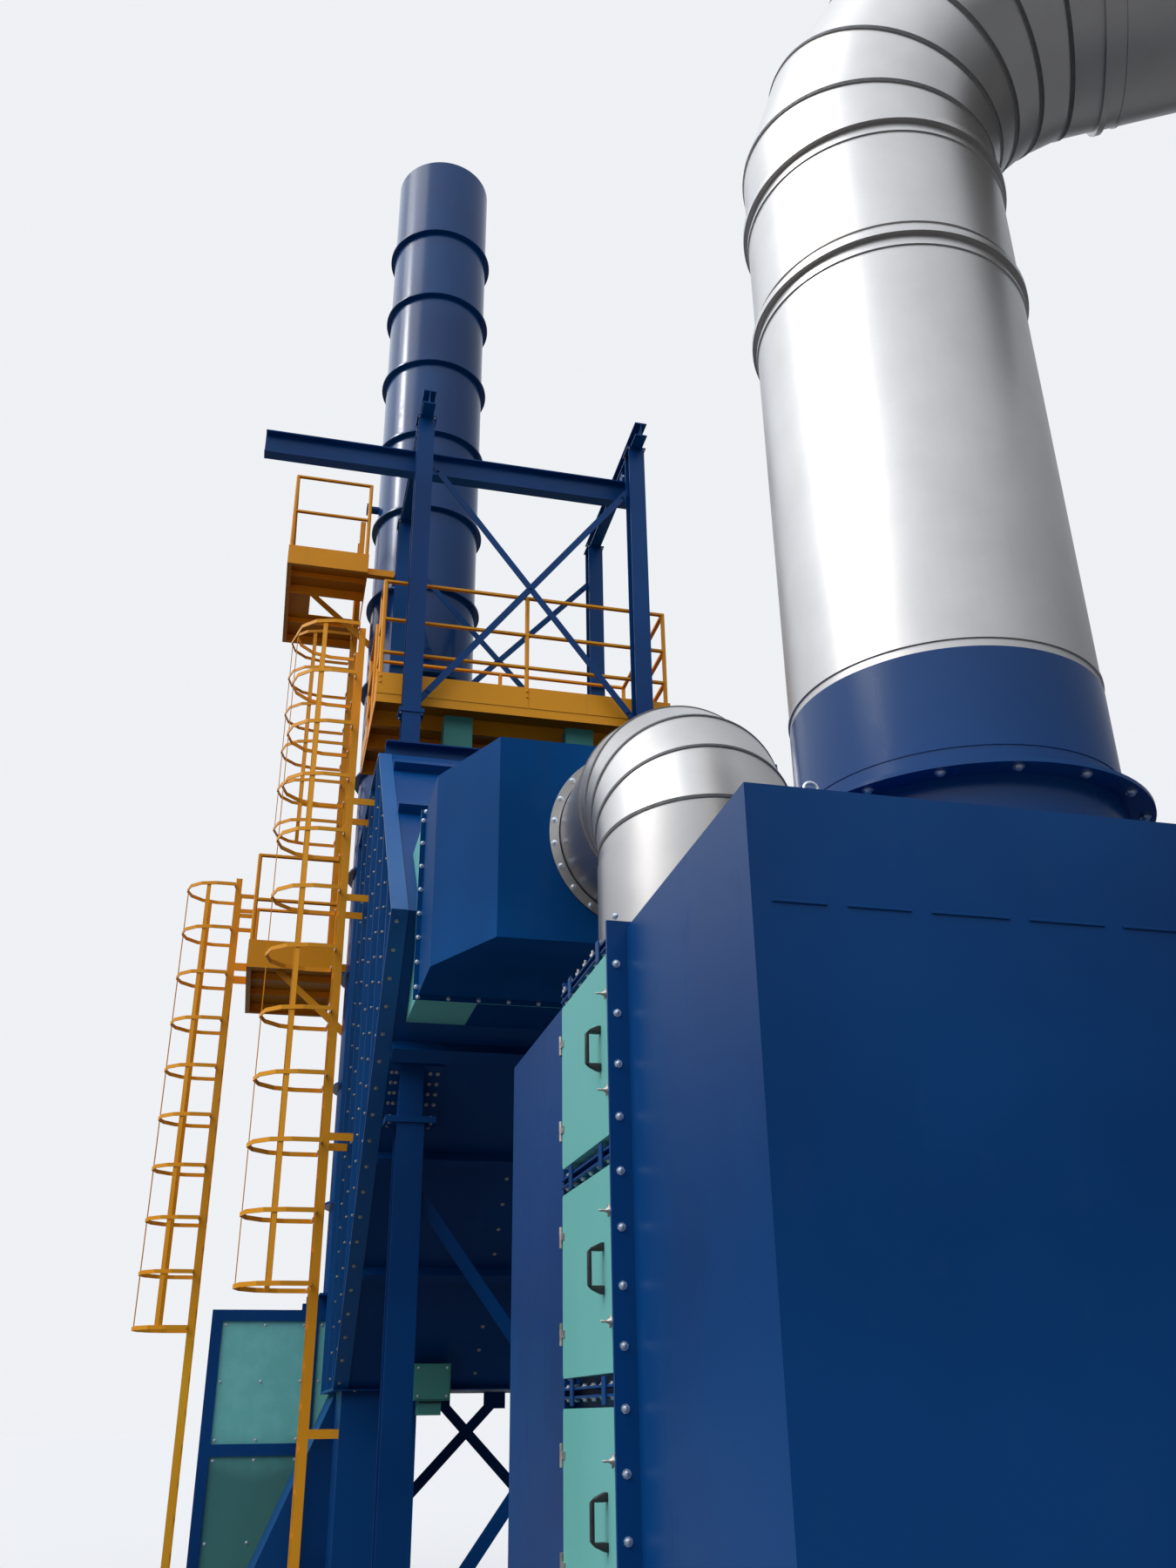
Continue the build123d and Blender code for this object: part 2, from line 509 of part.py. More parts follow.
# Sump casing under the left end of the tower
SUMP_X0, SUMP_X1, SUMP_Y = MID_X - TOWER_HALF, 350.0, 2440.0
BRACE_X, BRACE_Z = 1462.0, 950.0
with BuildPart() as sump_casing:
    block(SUMP_X0, SUMP_X1, FLOOR_Y, REAR_Y, 0, FLOOR_Z - PLATE)
    with BuildSketch(Plane.XZ.offset(-SUMP_Y)):
        with BuildLine():
            Polyline((SUMP_X0, FLOOR_Z - PLATE), (SUMP_X0 + 50, 0), (-830, 0), (-830, 350), close=True)
        make_face()
    extrude(amount=-(REAR_Y - SUMP_Y))
sump_casing.part.label = "sump_casing"
export_step(sump_casing.part, "parts/sump_casing.step")

with BuildPart() as rear_support_frame:
    for x, y in ((GRID_W, GAN_Y1), (GRID_W, FLOOR_Y + 90)):
        block(x - 150, x + 150, y - 150, y + 150, 0, BASE_T)
        h_bar((x, y, BASE_T), (x, y, FLOOR_Z - PLATE), COL, (0, 1, 0))
    for x in (SUMP_X1 + 30, BRACE_X):
        block(x - 30, x + 30, GAN_Y1 - 60, GAN_Y1 + 60, 0, FLOOR_Z - PLATE)
    for a, b in ((SUMP_X1 + 30, BRACE_X), (BRACE_X, SUMP_X1 + 30)):
        reach = (FLOOR_Z - PLATE - 60 - BRACE_Z) / (BRACE_X - SUMP_X1 - 30) * (b - a)
        flat_bar((a, GAN_Y1, BRACE_Z), (a + reach, GAN_Y1, FLOOR_Z - PLATE - 60), 80, 10, (0, 1, 0))
        block(a + reach - 90, a + reach + 90, GAN_Y1 - 5, GAN_Y1 + 5, FLOOR_Z - PLATE - 120, FLOOR_Z - PLATE)
rear_support_frame.part.label = "rear_support_frame"
export_step(rear_support_frame.part, "parts/rear_support_frame.step")

with BuildPart() as junction_box:
    with BuildSketch(Plane.YZ.offset(JBOX_X)):
        with BuildLine():
            Polyline((JBOX_Y0, JBOX_Z), (JBOX_Y1, JBOX_Z), (JBOX_Y1, slope_z_low(JBOX_Y1) - SEAT),
                     (slope_y(JBOX_TOP), JBOX_TOP - SEAT), (JBOX_Y0, JBOX_TOP - SEAT), close=True)
        make_face()
    extrude(amount=JBOX_W)
    block(JBOX_X + 40, JBOX_X + JBOX_W - 60, JBOX_Y0 + 30, JBOX_Y1 - 50, JBOX_Z - 96, JBOX_Z)
junction_box.part.label = "junction_box"
export_step(junction_box.part, "parts/junction_box.step")

# Gantry base beams, columns, beams and monorail
with BuildPart() as gantry_columns:
    for y in (GAN_Y0, GAN_Y1):
        h_bar((MID_X - TOWER_HALF, y, ROOF_Z + PLATE + GANTRY / 2), (MID_X + TOWER_HALF, y, ROOF_Z + PLATE + GANTRY / 2),
              GANTRY, (0, 0, 1))
        for x in (0.0, GRID_W):
            h_bar((x, y, ROOF_Z + PLATE + GANTRY), (x, y, GAN_CAP), GANTRY, (0, 1, 0))
            block(x - 110, x + 110, y - 90, y + 90, SPLICE_Z - 20, SPLICE_Z + 20)
            block(x - 95, x + 95, y - 95, y + 95, GAN_CAP - 15, GAN_CAP)
    for y in (GAN_Y0, GAN_Y1):
        low = SPLICE_Z + 60 if y == GAN_Y0 else DECK_Z + 160
        for a, b in ((low, GAN_CAP - 400), (GAN_CAP - 400, low)):
            flat_bar((0, y, a), (GRID_W, y, b), 60, 10, (0, 1, 0))
gantry_columns.part.label = "gantry_columns"
export_step(gantry_columns.part, "parts/gantry_columns.step")

with BuildPart() as gantry_beams:
    for x in (0.0, GRID_W):
        h_bar((x, 1150, GAN_CAP + GANTRY / 2), (x, 3300, GAN_CAP + GANTRY / 2), 120, (0, 0, 1), GANTRY)
        block(x - 50, x + 50, MONO_Y - 45, MONO_Y + 45, MONO_TOP, GAN_CAP)
gantry_beams.part.label = "gantry_beams"
export_step(gantry_beams.part, "parts/gantry_beams.step")

with BuildPart() as monorail_beam:
    h_bar((MONO_X0, MONO_Y, MONO_TOP - MONO_H / 2), (MONO_X1, MONO_Y, MONO_TOP - MONO_H / 2), MONO_W,
          (0, 0, 1), MONO_H)
monorail_beam.part.label = "monorail_beam"
export_step(monorail_beam.part, "parts/monorail_beam.step")

# Top platform
PX0, PX1 = MID_X - PLAT_HALF, MID_X + PLAT_HALF
with BuildPart() as platform_deck:
    block(PX0, PX1, PLAT_Y0, PLAT_Y1, PLAT_Z, DECK_Z)
    block(PX0 + 8, PX1 - 8, PLAT_Y0 + 8, PLAT_Y1 - 8, PLAT_Z, DECK_Z - 6, Mode.SUBTRACT)
    for y in (PLAT_Y0 + 480, PLAT_Y0 + 960):
        block(PX0, PX1, y - 30, y + 30, PLAT_Z, DECK_Z)
    for x0, x1, y0, y1 in ((PX0, PX1, PLAT_Y0, PLAT_Y0 + 8), (PX0, PX1, PLAT_Y1 - 8, PLAT_Y1),
                           (PX0, PX0 + 8, PLAT_Y0, PLAT_Y0 + 250), (PX0, PX0 + 8, PLAT_Y0 + 900, PLAT_Y1),
                           (PX1 - 8, PX1, PLAT_Y0, PLAT_Y1)):
        block(x0, x1, y0, y1, DECK_Z, DECK_Z + TOE_H)
platform_deck.part.label = "platform_deck"
export_step(platform_deck.part, "parts/platform_deck.step")

with BuildPart() as platform_pads:
    for x in (456.0, 1580.0):
        for y in (PLAT_Y0 + 210, PLAT_Y1 - 180):
            block(x - PAD_W / 2, x + PAD_W / 2, y - PAD_L / 2, y + PAD_L / 2, ROOF_Z + PLATE, PLAT_Z)
platform_pads.part.label = "platform_pads"
export_step(platform_pads.part, "parts/platform_pads.step")

RAILS = (RAIL_H, 720.0, 370.0)


def rail_run(points, base, rails, post_points):
    # handrail tubes along points at each rail height, with posts
    for high in rails:
        for p, q in zip(points[:-1], points[1:]):
            bar((p[0], p[1], base + high), (q[0], q[1], base + high), RAIL_R)
    for p in post_points:
        bar((p[0], p[1], base), (p[0], p[1], base + rails[0] + RAIL_R * 0.5), RAIL_R)


with BuildPart() as platform_railing:
    x0, x1 = PX0 + RAIL_INSET, PX1 - RAIL_INSET
    y0, y1 = PLAT_Y0 + RAIL_INSET, PLAT_Y1 - RAIL_INSET
    ring_points = [(x0, PLAT_Y0 + 330), (x0, y0), (x1, y0), (x1, y1), (x0, y1), (x0, PLAT_Y0 + 820)]
    posts = ring_points + [(MID_X, y0), (MID_X, y1), (x1, (y0 + y1) / 2)]
    rail_run(ring_points, DECK_Z, RAILS, posts)
platform_railing.part.label = "platform_railing"
export_step(platform_railing.part, "parts/platform_railing.step")

# Stack
SPLIT = STACK_TOP - RING_FIRST - 6 * RING_PITCH


def stack_part(z0, z1):
    shell(STACK_X, STACK_Y, z0, STACK_R, STACK_R - STACK_WALL, z1 - z0, STACK_SIDES)
    marks = [STACK_TOP - RING_FIRST - RING_PITCH * step for step in range(14)]
    for z in marks:
        if z0 + RING_T < z < z1:
            shell(STACK_X, STACK_Y, z - RING_T / 2, STACK_R + RING_OUT, STACK_R - STACK_WALL, RING_T, STACK_SIDES)


with BuildPart() as stack_lower:
    stack_part(STACK_BASE, SPLIT + RING_T / 2)
stack_lower.part.label = "stack_lower"
export_step(stack_lower.part, "parts/stack_lower.step")

with BuildPart() as stack_upper:
    stack_part(SPLIT + RING_T / 2, STACK_TOP)
stack_upper.part.label = "stack_upper"
export_step(stack_upper.part, "parts/stack_upper.step")

# Stack platforms


def stack_half_width(away):
    # half width of the faceted shell at a distance from its centre line
    angle = math.pi / STACK_SIDES
    best = STACK_R
    for step in range(STACK_SIDES // 4):
        turn = angle * (2 * step + 1)
        best = min(best, (STACK_R * math.cos(angle) - away * math.sin(turn)) / math.cos(turn))
    return best


def landing(y0, y1, z, toe):
    block(LAND_X0, LAND_X1, y0, y1, z - 120, z)
    block(LAND_X0 + 8, LAND_X1 - 8, y0 + 8, y1 - 8, z - 120, z - 6, Mode.SUBTRACT)
    for a, b, c, d in ((LAND_X0, LAND_X1, y0, y0 + 8), (LAND_X0, LAND_X1, y1 - 8, y1),
                       (LAND_X0, LAND_X0 + 8, y0, y0 + 170), (LAND_X0, LAND_X0 + 8, y1 - 170, y1)):
        block(a, b, c, d, z, z + toe)
    # cross web with a knee brace down to the stack
    block(LAND_X0, LAND_X1, STACK_Y - 5, STACK_Y + 5, z - 120, z)
    foot = STACK_X - STACK_R - SEAT
    with BuildSketch(Plane.XZ.offset(-STACK_Y - 5)) as brace:
        with BuildLine():
            Polyline((LAND_X0 + 250, z - 100), (LAND_X0 + 340, z - 100), (foot, z - 640), (foot, z - 740), close=True)
        make_face()
    extrude(brace.sketch, amount=10)
    for y in (y0 + 120, y1 - 120):
        near = max(abs(y - STACK_Y) - 40, 0)
        if near < STACK_R - 60:
            reach = STACK_X - stack_half_width(near) - SEAT
            block(LAND_X1 - 8, reach, y - 40, y + 40, z - 90, z - 10)


with BuildPart() as sampling_platform:
    landing(SAMPLE_Y0, SAMPLE_Y1, SAMPLE_Z, SAMPLE_TOE)
    x0, x1, y0, y1 = LAND_X0 + 27, LAND_X1 - 27, SAMPLE_Y0 + 27, SAMPLE_Y1 - 27
    points = [(x1, y0), (x0, y0), (x0, y1), (x1, y1)]
    rail_run(points, SAMPLE_Z, (1080.0, 600.0), points)
    block(LAND_X1 - 600, LAND_X1 - 8, 4340, 4840, SAMPLE_Z - 130, SAMPLE_Z + 10, Mode.SUBTRACT)
sampling_platform.part.label = "sampling_platform"
export_step(sampling_platform.part, "parts/sampling_platform.step")

with BuildPart() as mid_platform:
    landing(MIDP_Y0, MIDP_Y1, MIDP_Z, MIDP_TOE)
    x0, x1, y0, y1 = LAND_X0 + 27, LAND_X1 - 27, MIDP_Y0 + 27, MIDP_Y1 - 27
    for points in ([(x1, y0), (x0, y0)], [(x0, y1), (x1, y1)]):
        rail_run(points, MIDP_Z, (1080.0, 600.0), points)
mid_platform.part.label = "mid_platform"
export_step(mid_platform.part, "parts/mid_platform.step")


# Caged ladders; each climbs facing plus X, with the cage bulging to minus X


def ladder(x, y, z0, z1, top):
    for side in (-1, 1):
        spot = y + side * LADDER_W / 2
        block(x - STILE_W / 2, x + STILE_W / 2, spot - STILE_T / 2, spot + STILE_T / 2, z0, top)
    levels = [z0 + RUNG_PITCH * step for step in range(1, int((z1 - z0) / RUNG_PITCH) + 1)]
    with BuildSketch(Plane.XZ.offset(-(y - LADDER_W / 2))) as shape:
        with Locations(*[(x, z) for z in levels]):
            Rectangle(RUNG, RUNG)
    extrude(shape.sketch, amount=-LADDER_W)


def cage(x, y, z0, pitch, count, deep, radius):
    # hoops of flat bar bent round in short sides, with three upright straps inside
    planes = [Plane.XY.offset(z0 + pitch * step) for step in range(count)]
    centre, back = x - deep + radius, x - STILE_W / 2
    outline = []
    for step in range(HOOP_SIDES // 2 + 1):
        turn = math.pi / 2 + 2 * math.pi * step / HOOP_SIDES
        outline.append((math.cos(turn), math.sin(turn)))
    half = LADDER_W / 2 - STILE_T / 2
    with BuildSketch(*planes) as shape:
        with BuildLine():
            Polyline((back, y + half), (back, y + radius),
                     *[(centre + radius * a, y + radius * b) for a, b in outline],
                     (back, y - radius), (back, y - half), (back - HOOP_T, y - half),
                     (back - HOOP_T, y - radius + HOOP_T),
                     *[(centre + (radius - HOOP_T) * a, y + (radius - HOOP_T) * b) for a, b in reversed(outline)],
                     (back - HOOP_T, y + radius - HOOP_T), (back - HOOP_T, y + half), close=True)
        make_face()
    extrude(shape.sketch, amount=HOOP_W)
    tall = pitch * (count - 1) + HOOP_W
    inner = (radius - HOOP_T) * math.cos(math.pi / HOOP_SIDES) - 3
    with BuildSketch(Plane.XY.offset(z0)) as shape:
        for step in (0.5, HOOP_SIDES / 4, HOOP_SIDES / 2 - 0.5):
            turn = math.pi / 2 + 2 * math.pi * step / HOOP_SIDES
            away = inner if step != HOOP_SIDES / 4 else radius - HOOP_T - 8
            with Locations(Location((centre + away * math.cos(turn), y + away * math.sin(turn), 0),
                                    (0, 0, math.degrees(turn)))):
                Rectangle(8, 40)
    extrude(shape.sketch, amount=tall)


NEAR_X, NEAR_Y = -443.0, 2115.0
with BuildPart() as near_ladder:
    ladder(NEAR_X, NEAR_Y, 0, DECK_Z, NEAR_CAGE_Z + NEAR_PITCH * (NEAR_HOOPS - 1) + HOOP_W)
    for z in (1500, 3600, 5600, 6500):
        for side in (-1, 1):
            spot = NEAR_Y + side * LADDER_W / 2
            block(NEAR_X, MID_X - TOWER_HALF - SEAT, spot - 5, spot + 5, z - 30, z + 30)
    cage(NEAR_X, NEAR_Y, NEAR_CAGE_Z, NEAR_PITCH, NEAR_HOOPS, CAGE_D, CAGE_R)
near_ladder.part.label = "near_ladder"
export_step(near_ladder.part, "parts/near_ladder.step")

FAR_X, FAR_Y = -1390.0, MIDP_Y0 + 450
with BuildPart() as lower_stack_ladder:
    ladder(FAR_X, FAR_Y, 0, MIDP_Z, MIDP_Z + 880)
    for side in (-1, 1):
        spot = FAR_Y + side * LADDER_W / 2
        block(FAR_X, LAND_X0, spot - 5, spot + 5, MIDP_Z - 100, MIDP_Z - 20)
    cage(FAR_X, FAR_Y, FAR_CAGE_Z, FAR_PITCH, FAR_HOOPS, FAR_CAGE_D, FAR_CAGE_R)
lower_stack_ladder.part.label = "lower_stack_ladder"
export_step(lower_stack_ladder.part, "parts/lower_stack_ladder.step")

UP_X, UP_Y = -410.0, 4590.0
with BuildPart() as upper_stack_ladder:
    ladder(UP_X, UP_Y, MIDP_Z, SAMPLE_Z, SAMPLE_Z + 1080)
    cage(UP_X, UP_Y, UP_CAGE_Z, FAR_PITCH, UP_HOOPS, UP_CAGE_D, CAGE_R)
upper_stack_ladder.part.label = "upper_stack_ladder"
export_step(upper_stack_ladder.part, "parts/upper_stack_ladder.step")

# Fan enclosure and outlet duct
with BuildPart() as fan_enclosure_frame:
    for x in (FAN_X0 + FAN_POST / 2, (FAN_X0 + FAN_X1) / 2, FAN_X1 - FAN_POST / 2):
        for y in (FAN_Y0 + FAN_POST / 2, FAN_Y1 - FAN_POST / 2):
            block(x - FAN_POST / 2, x + FAN_POST / 2, y - FAN_POST / 2, y + FAN_POST / 2, 0, FAN_TOP)
    for z in (0.0, 1420.0 - FAN_POST, FAN_TOP - FAN_POST):
        for y in (FAN_Y0 + FAN_POST / 2, FAN_Y1 - FAN_POST / 2):
            block(FAN_X0, FAN_X1, y - FAN_POST / 2, y + FAN_POST / 2, z, z + FAN_POST)
        for x in (FAN_X0 + FAN_POST / 2, FAN_X1 - FAN_POST / 2):
            block(x - FAN_POST / 2, x + FAN_POST / 2, FAN_Y0, FAN_Y1, z, z + FAN_POST)
    block(FAN_X0, FAN_X1, FAN_Y0, FAN_Y1, FAN_TOP - 10, FAN_TOP)
    for y in (STACK_Y - 400, STACK_Y + 400):
        block(STACK_X - STACK_R - 160, STACK_X + STACK_R + 60, y - 60, y + 60, FAN_TOP, STACK_BASE - BASE_T)
    block(STACK_X - STACK_R - 60, STACK_X + STACK_R + 60, STACK_Y - STACK_R - 5, STACK_Y + STACK_R + 60,
          STACK_BASE - BASE_T, STACK_BASE)
fan_enclosure_frame.part.label = "fan_enclosure_frame"
export_step(fan_enclosure_frame.part, "parts/fan_enclosure_frame.step")

with BuildPart() as fan_enclosure_panels:
    gap = SEAT
    mid = (FAN_X0 + FAN_X1) / 2
    for z0, z1 in ((FAN_POST, 1420.0 - FAN_POST), (1420.0, FAN_TOP - FAN_POST)):
        for x0, x1 in ((FAN_X0 + FAN_POST, mid - FAN_POST / 2), (mid + FAN_POST / 2, FAN_X1 - FAN_POST)):
            for y in (FAN_Y0 + 20, FAN_Y1 - 70):
                block(x0 + gap, x1 - gap, y, y + 50, z0 + gap, z1 - gap)
        for x in (FAN_X0 + 20, FAN_X1 - 70):
            block(x, x + 50, FAN_Y0 + FAN_POST + gap, FAN_Y1 - FAN_POST - gap, z0 + gap, z1 - gap)
fan_enclosure_panels.part.label = "fan_enclosure_panels"
export_step(fan_enclosure_panels.part, "parts/fan_enclosure_panels.step")

with BuildPart() as outlet_duct:
    block(STACK_X - 405, STACK_X + 405, REAR_Y, FAN_Y0, FLOOR_Z + 55, FLOOR_Z + 405 - 50)
    block(STACK_X - 400, STACK_X + 400, REAR_Y, FAN_Y0, FLOOR_Z + 60, FLOOR_Z + 350, Mode.SUBTRACT)
outlet_duct.part.label = "outlet_duct"
export_step(outlet_duct.part, "parts/outlet_duct.step")
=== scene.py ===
import math
import random

import bmesh
import bpy
from mathutils import Matrix, Vector


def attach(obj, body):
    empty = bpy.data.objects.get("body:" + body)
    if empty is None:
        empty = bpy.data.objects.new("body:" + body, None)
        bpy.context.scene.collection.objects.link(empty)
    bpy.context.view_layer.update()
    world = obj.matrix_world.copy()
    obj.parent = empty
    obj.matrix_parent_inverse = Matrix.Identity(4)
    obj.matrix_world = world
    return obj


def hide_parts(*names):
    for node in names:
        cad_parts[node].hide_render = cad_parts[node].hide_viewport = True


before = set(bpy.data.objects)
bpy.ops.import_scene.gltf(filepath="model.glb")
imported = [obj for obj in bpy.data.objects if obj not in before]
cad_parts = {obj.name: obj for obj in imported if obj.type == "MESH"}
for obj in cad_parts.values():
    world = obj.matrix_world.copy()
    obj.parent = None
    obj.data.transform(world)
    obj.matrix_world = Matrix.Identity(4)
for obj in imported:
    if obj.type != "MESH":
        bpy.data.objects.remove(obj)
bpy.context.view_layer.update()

pi = math.pi

# Filter housing: folded and welded steel plate sections, bolted flange to flange on a welded base frame.
# The paint is a deep blue two-coat enamel, a little chalky where rain runs and dusty near the flanges.

BOX_X0, BOX_X1, BOX_LOW, BOX_TOP = 0.275, 2.36, 0.80, 3.195
BOX_FRONT, FRONT_FLANGE, REAR_FLANGE, BOX_REAR = -5.72, -4.457, -3.61, -2.28
DEEP_BLUE, FADED_BLUE, BLUE_DUST = (0.0012, 0.038, 0.155), (0.002, 0.059, 0.220), (0.020, 0.070, 0.18)


class Field:
    """One output of a shader node, to be reckoned with like a number."""

    def __init__(self, finish, socket):
        self.finish, self.socket = finish, socket

    def reckon(self, operation, first, second):
        return self.finish.node("ShaderNodeMath", {0: first, 1: second}, operation=operation)

    def __add__(self, other):
        return self.reckon("ADD", self, other)

    def __radd__(self, other):
        return self.reckon("ADD", other, self)

    def __sub__(self, other):
        return self.reckon("SUBTRACT", self, other)

    def __rsub__(self, other):
        return self.reckon("SUBTRACT", other, self)

    def __mul__(self, other):
        return self.reckon("MULTIPLY", self, other)

    def __rmul__(self, other):
        return self.reckon("MULTIPLY", other, self)


class Finish:
    """A finish for one kind of surface; node() makes any node in its shader."""

    def __init__(self, name, rough, metallic=0.0):
        self.material = bpy.data.materials.new(name)
        self.material.use_nodes = True
        self.tree = self.material.node_tree
        self.shader = self.tree.nodes["Principled BSDF"]
        self.shader.inputs["Roughness"].default_value = rough
        self.shader.inputs["Metallic"].default_value = metallic
        self.place = self.node("ShaderNodeTexCoord", out="Object")

    def node(self, kind, sockets=None, out=0, **settings):
        made = self.tree.nodes.new(kind)
        for key, value in settings.items():
            setattr(made, key, value)
        for key, value in (sockets or {}).items():
            if isinstance(value, Field):
                self.tree.links.new(value.socket, made.inputs[key])
            else:
                made.inputs[key].default_value = value
        return Field(self, made.outputs[out])

    def noise(self, scale, detail=3.0, stretch=(1, 1, 1), rough=0.5):
        moved = self.node("ShaderNodeMapping", {"Vector": self.place, "Scale": stretch})
        return self.node("ShaderNodeTexNoise",
                         {"Vector": moved, "Scale": scale, "Detail": detail, "Roughness": rough})

    def between(self, field, low, high, to_low=0.0, to_high=1.0):
        return self.node("ShaderNodeMapRange", {"Value": field, "From Min": low, "From Max": high,
                                                "To Min": to_low, "To Max": to_high},
                         interpolation_type="SMOOTHSTEP")

    def blend(self, share, first, second):
        # colours are given as red, green and blue, or as the Field of an earlier blend
        first, second = ((*part, 1) if isinstance(part, tuple) else part for part in (first, second))
        return self.node("ShaderNodeMix", {0: share, 6: first, 7: second}, out=2, data_type="RGBA")

    def feed(self, socket, field):
        self.tree.links.new(field.socket, self.shader.inputs[socket])

    def bump(self, height, strength, distance):
        self.feed("Normal", self.node("ShaderNodeBump",
                                      {"Height": height, "Strength": strength, "Distance": distance}))

    def orange_peel(self, swell):
        # the fine grain of sprayed paint over the slow swell of the sheet under it
        self.bump(self.noise(260.0, 2) * 0.35 + swell * 2.4, 0.25, 0.0016)


def enamel(name, deep, faded, dust, gloss=0.34, dusty=0.3, shine=0.15, underside_shade=0.0):
    # sprayed enamel: broad fading, faint rain streaks down the plate, dust in patches, and on request painted
    # shade on faces that look down
    paint = Finish(name, gloss)
    paint.shader.inputs["Specular IOR Level"].default_value = shine
    broad = paint.noise(0.55, 3)
    streaks = paint.noise(1.0, 4, (9.0, 9.0, 0.35))
    patches = paint.noise(6.0, 5, rough=0.65)
    grime = paint.between(streaks * 0.55 + patches * 0.45, 0.52, 0.78)
    body = paint.blend(paint.between(broad, 0.35, 0.68), deep, faded)
    if underside_shade:
        # painted shade: faces that look down are darkened towards a fifth of the deep colour
        normal = paint.node("ShaderNodeNewGeometry", out="Normal")
        down = paint.node("ShaderNodeSeparateXYZ", {0: normal}, out="Z")
        body = paint.blend(paint.between(down, -0.3, -0.8, 0.0, underside_shade), body, tuple(part * 0.2 for part in deep))
    paint.feed("Base Color", paint.blend(grime * dusty, body, dust))
    paint.feed("Roughness", gloss + grime * 0.22 + (broad - 0.5) * 0.12)
    paint.orange_peel(paint.noise(1.3, 2))
    return paint.material


def coat(material, *nodes):
    for node in nodes:
        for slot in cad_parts[node].material_slots:
            slot.material = material


blue = enamel("blue_enamel", DEEP_BLUE, FADED_BLUE, BLUE_DUST)
coat(blue, "housing_inlet_plenum", "housing_filter_section", "housing_outlet_plenum", "housing_base_frame")

# Flange bolts: zinc-plated hexagon screws, slightly domed, each on a round washer.
# They draw the folded flanges of the housing together. One is modelled and copied to every hole,
# with its flats turned at random, as a spanner leaves them.

BOLT_R, HEX_HIGH, DOME_HIGH, DOME_TAPER, WASHER_R, WASHER_T = 0.0125, 0.007, 0.003, 0.55, 0.019, 0.003
FLANGE_PITCH, LIP_T, FRONT_LIP, REAR_LIP, CORNER_IN = 0.182, 0.008, 0.042, 0.024, 0.06
FRONT_FOOT, REAR_FOOT, REAR_HEAD = 0.098, 0.03, 0.02
TO_FRONT, TO_REAR, TO_LEFT, TO_RIGHT, TO_SKY, TO_FLOOR = ((0, -1, 0), (0, 1, 0), (-1, 0, 0), (1, 0, 0),
                                                          (0, 0, 1), (0, 0, -1))
chance = random.Random(7)
zinc = Finish("zinc_plate", 0.32, metallic=0.8)
cloudy = zinc.noise(90.0, 3)
zinc.feed("Base Color", zinc.blend(cloudy, (0.60, 0.65, 0.70), (0.86, 0.91, 0.96)))
zinc.feed("Roughness", zinc.between(cloudy, 0.3, 0.7, 0.26, 0.48))


def clear():
    # object mode with nothing selected, because a new piece is selected all over
    if bpy.context.mode != "OBJECT":
        bpy.ops.object.mode_set(mode="OBJECT")
    bpy.ops.object.select_all(action="DESELECT")


def pick(kind, test):
    # in edit mode, selects the faces or edges whose middle and direction pass a test
    piece = bpy.context.object
    place = piece.matrix_world
    bpy.ops.mesh.select_all(action="DESELECT")
    bpy.ops.mesh.select_mode(type=kind)
    mesh = bmesh.from_edit_mesh(piece.data)
    if kind == "FACE":
        chosen = [face for face in mesh.faces if test(place @ face.calc_center_median(), face.normal)]
    else:
        ends = [(edge, edge.verts[0].co, edge.verts[1].co) for edge in mesh.edges]
        chosen = [edge for edge, a, b in ends if test(place @ ((a + b) / 2), a - b)]
    for item in chosen:
        item.select_set(True)
    mesh.select_flush_mode()
    bmesh.update_edit_mesh(piece.data)


def draw_out(way, taper=1.0):
    # extrudes what is selected and narrows its end
    bpy.ops.mesh.extrude_region_move(TRANSFORM_OT_translate={"value": way})
    if taper != 1.0:
        bpy.ops.transform.resize(value=(taper, taper, 1))


def smooth(sharp):
    # ends the shaping: the place goes into the mesh, and edges under so many degrees are smoothed
    bpy.ops.object.mode_set(mode="OBJECT")
    bpy.ops.object.transform_apply(location=True, rotation=True, scale=True)
    bpy.ops.object.shade_smooth_by_angle(angle=math.radians(sharp))
    return bpy.context.object


def settle(name, material, body="plant"):
    # the piece just shaped gets its name, finish and body, and its place goes into its mesh
    bpy.ops.object.mode_set(mode="OBJECT")
    bpy.ops.object.transform_apply(location=True, rotation=True, scale=True)
    piece = bpy.context.object
    piece.name = name
    piece.data.materials.clear()
    piece.data.materials.append(material)
    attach(piece, body)
    return piece


def set_out(pattern, name, spots, material, body="plant", size=1.0, spin=0.0):
    # copies a pattern to each spot, given as place and outward direction, and joins the copies into one piece
    clear()
    copies = []
    for place, out in spots:
        copy = bpy.data.objects.new(name, pattern.data.copy())
        turn = Vector(out).to_track_quat("Z", "Y").to_matrix().to_4x4()
        twist = Matrix.Rotation(chance.uniform(0, spin), 4, "Z")
        copy.data.transform(Matrix.Translation(place) @ turn @ twist @ Matrix.Scale(size, 4))
        bpy.context.collection.objects.link(copy)
        copy.select_set(True)
        copies.append(copy)
    bpy.context.view_layer.objects.active = copies[0]
    if len(copies) > 1:
        bpy.ops.object.join()
    return settle(name, material, body)


def row(first, last, pitch):
    # evenly spaced places from first to last, with one at each end
    first, last = Vector(first), Vector(last)
    count = max(round((last - first).length / pitch), 1)
    return [first.lerp(last, step / count) for step in range(count + 1)]


def bolt_row(first, last, pitch, out):
    return [(place, out) for place in row(first, last, pitch)]


def disc(sides, radius, thick):
    # starts a round piece on the origin: a disc, in edit mode with its top face picked
    clear()
    bpy.ops.mesh.primitive_cylinder_add(vertices=sides, radius=radius, depth=thick, location=(0, 0, thick / 2))
    bpy.ops.object.mode_set(mode="EDIT")
    pick("FACE", lambda middle, normal: normal.z > 0.9)


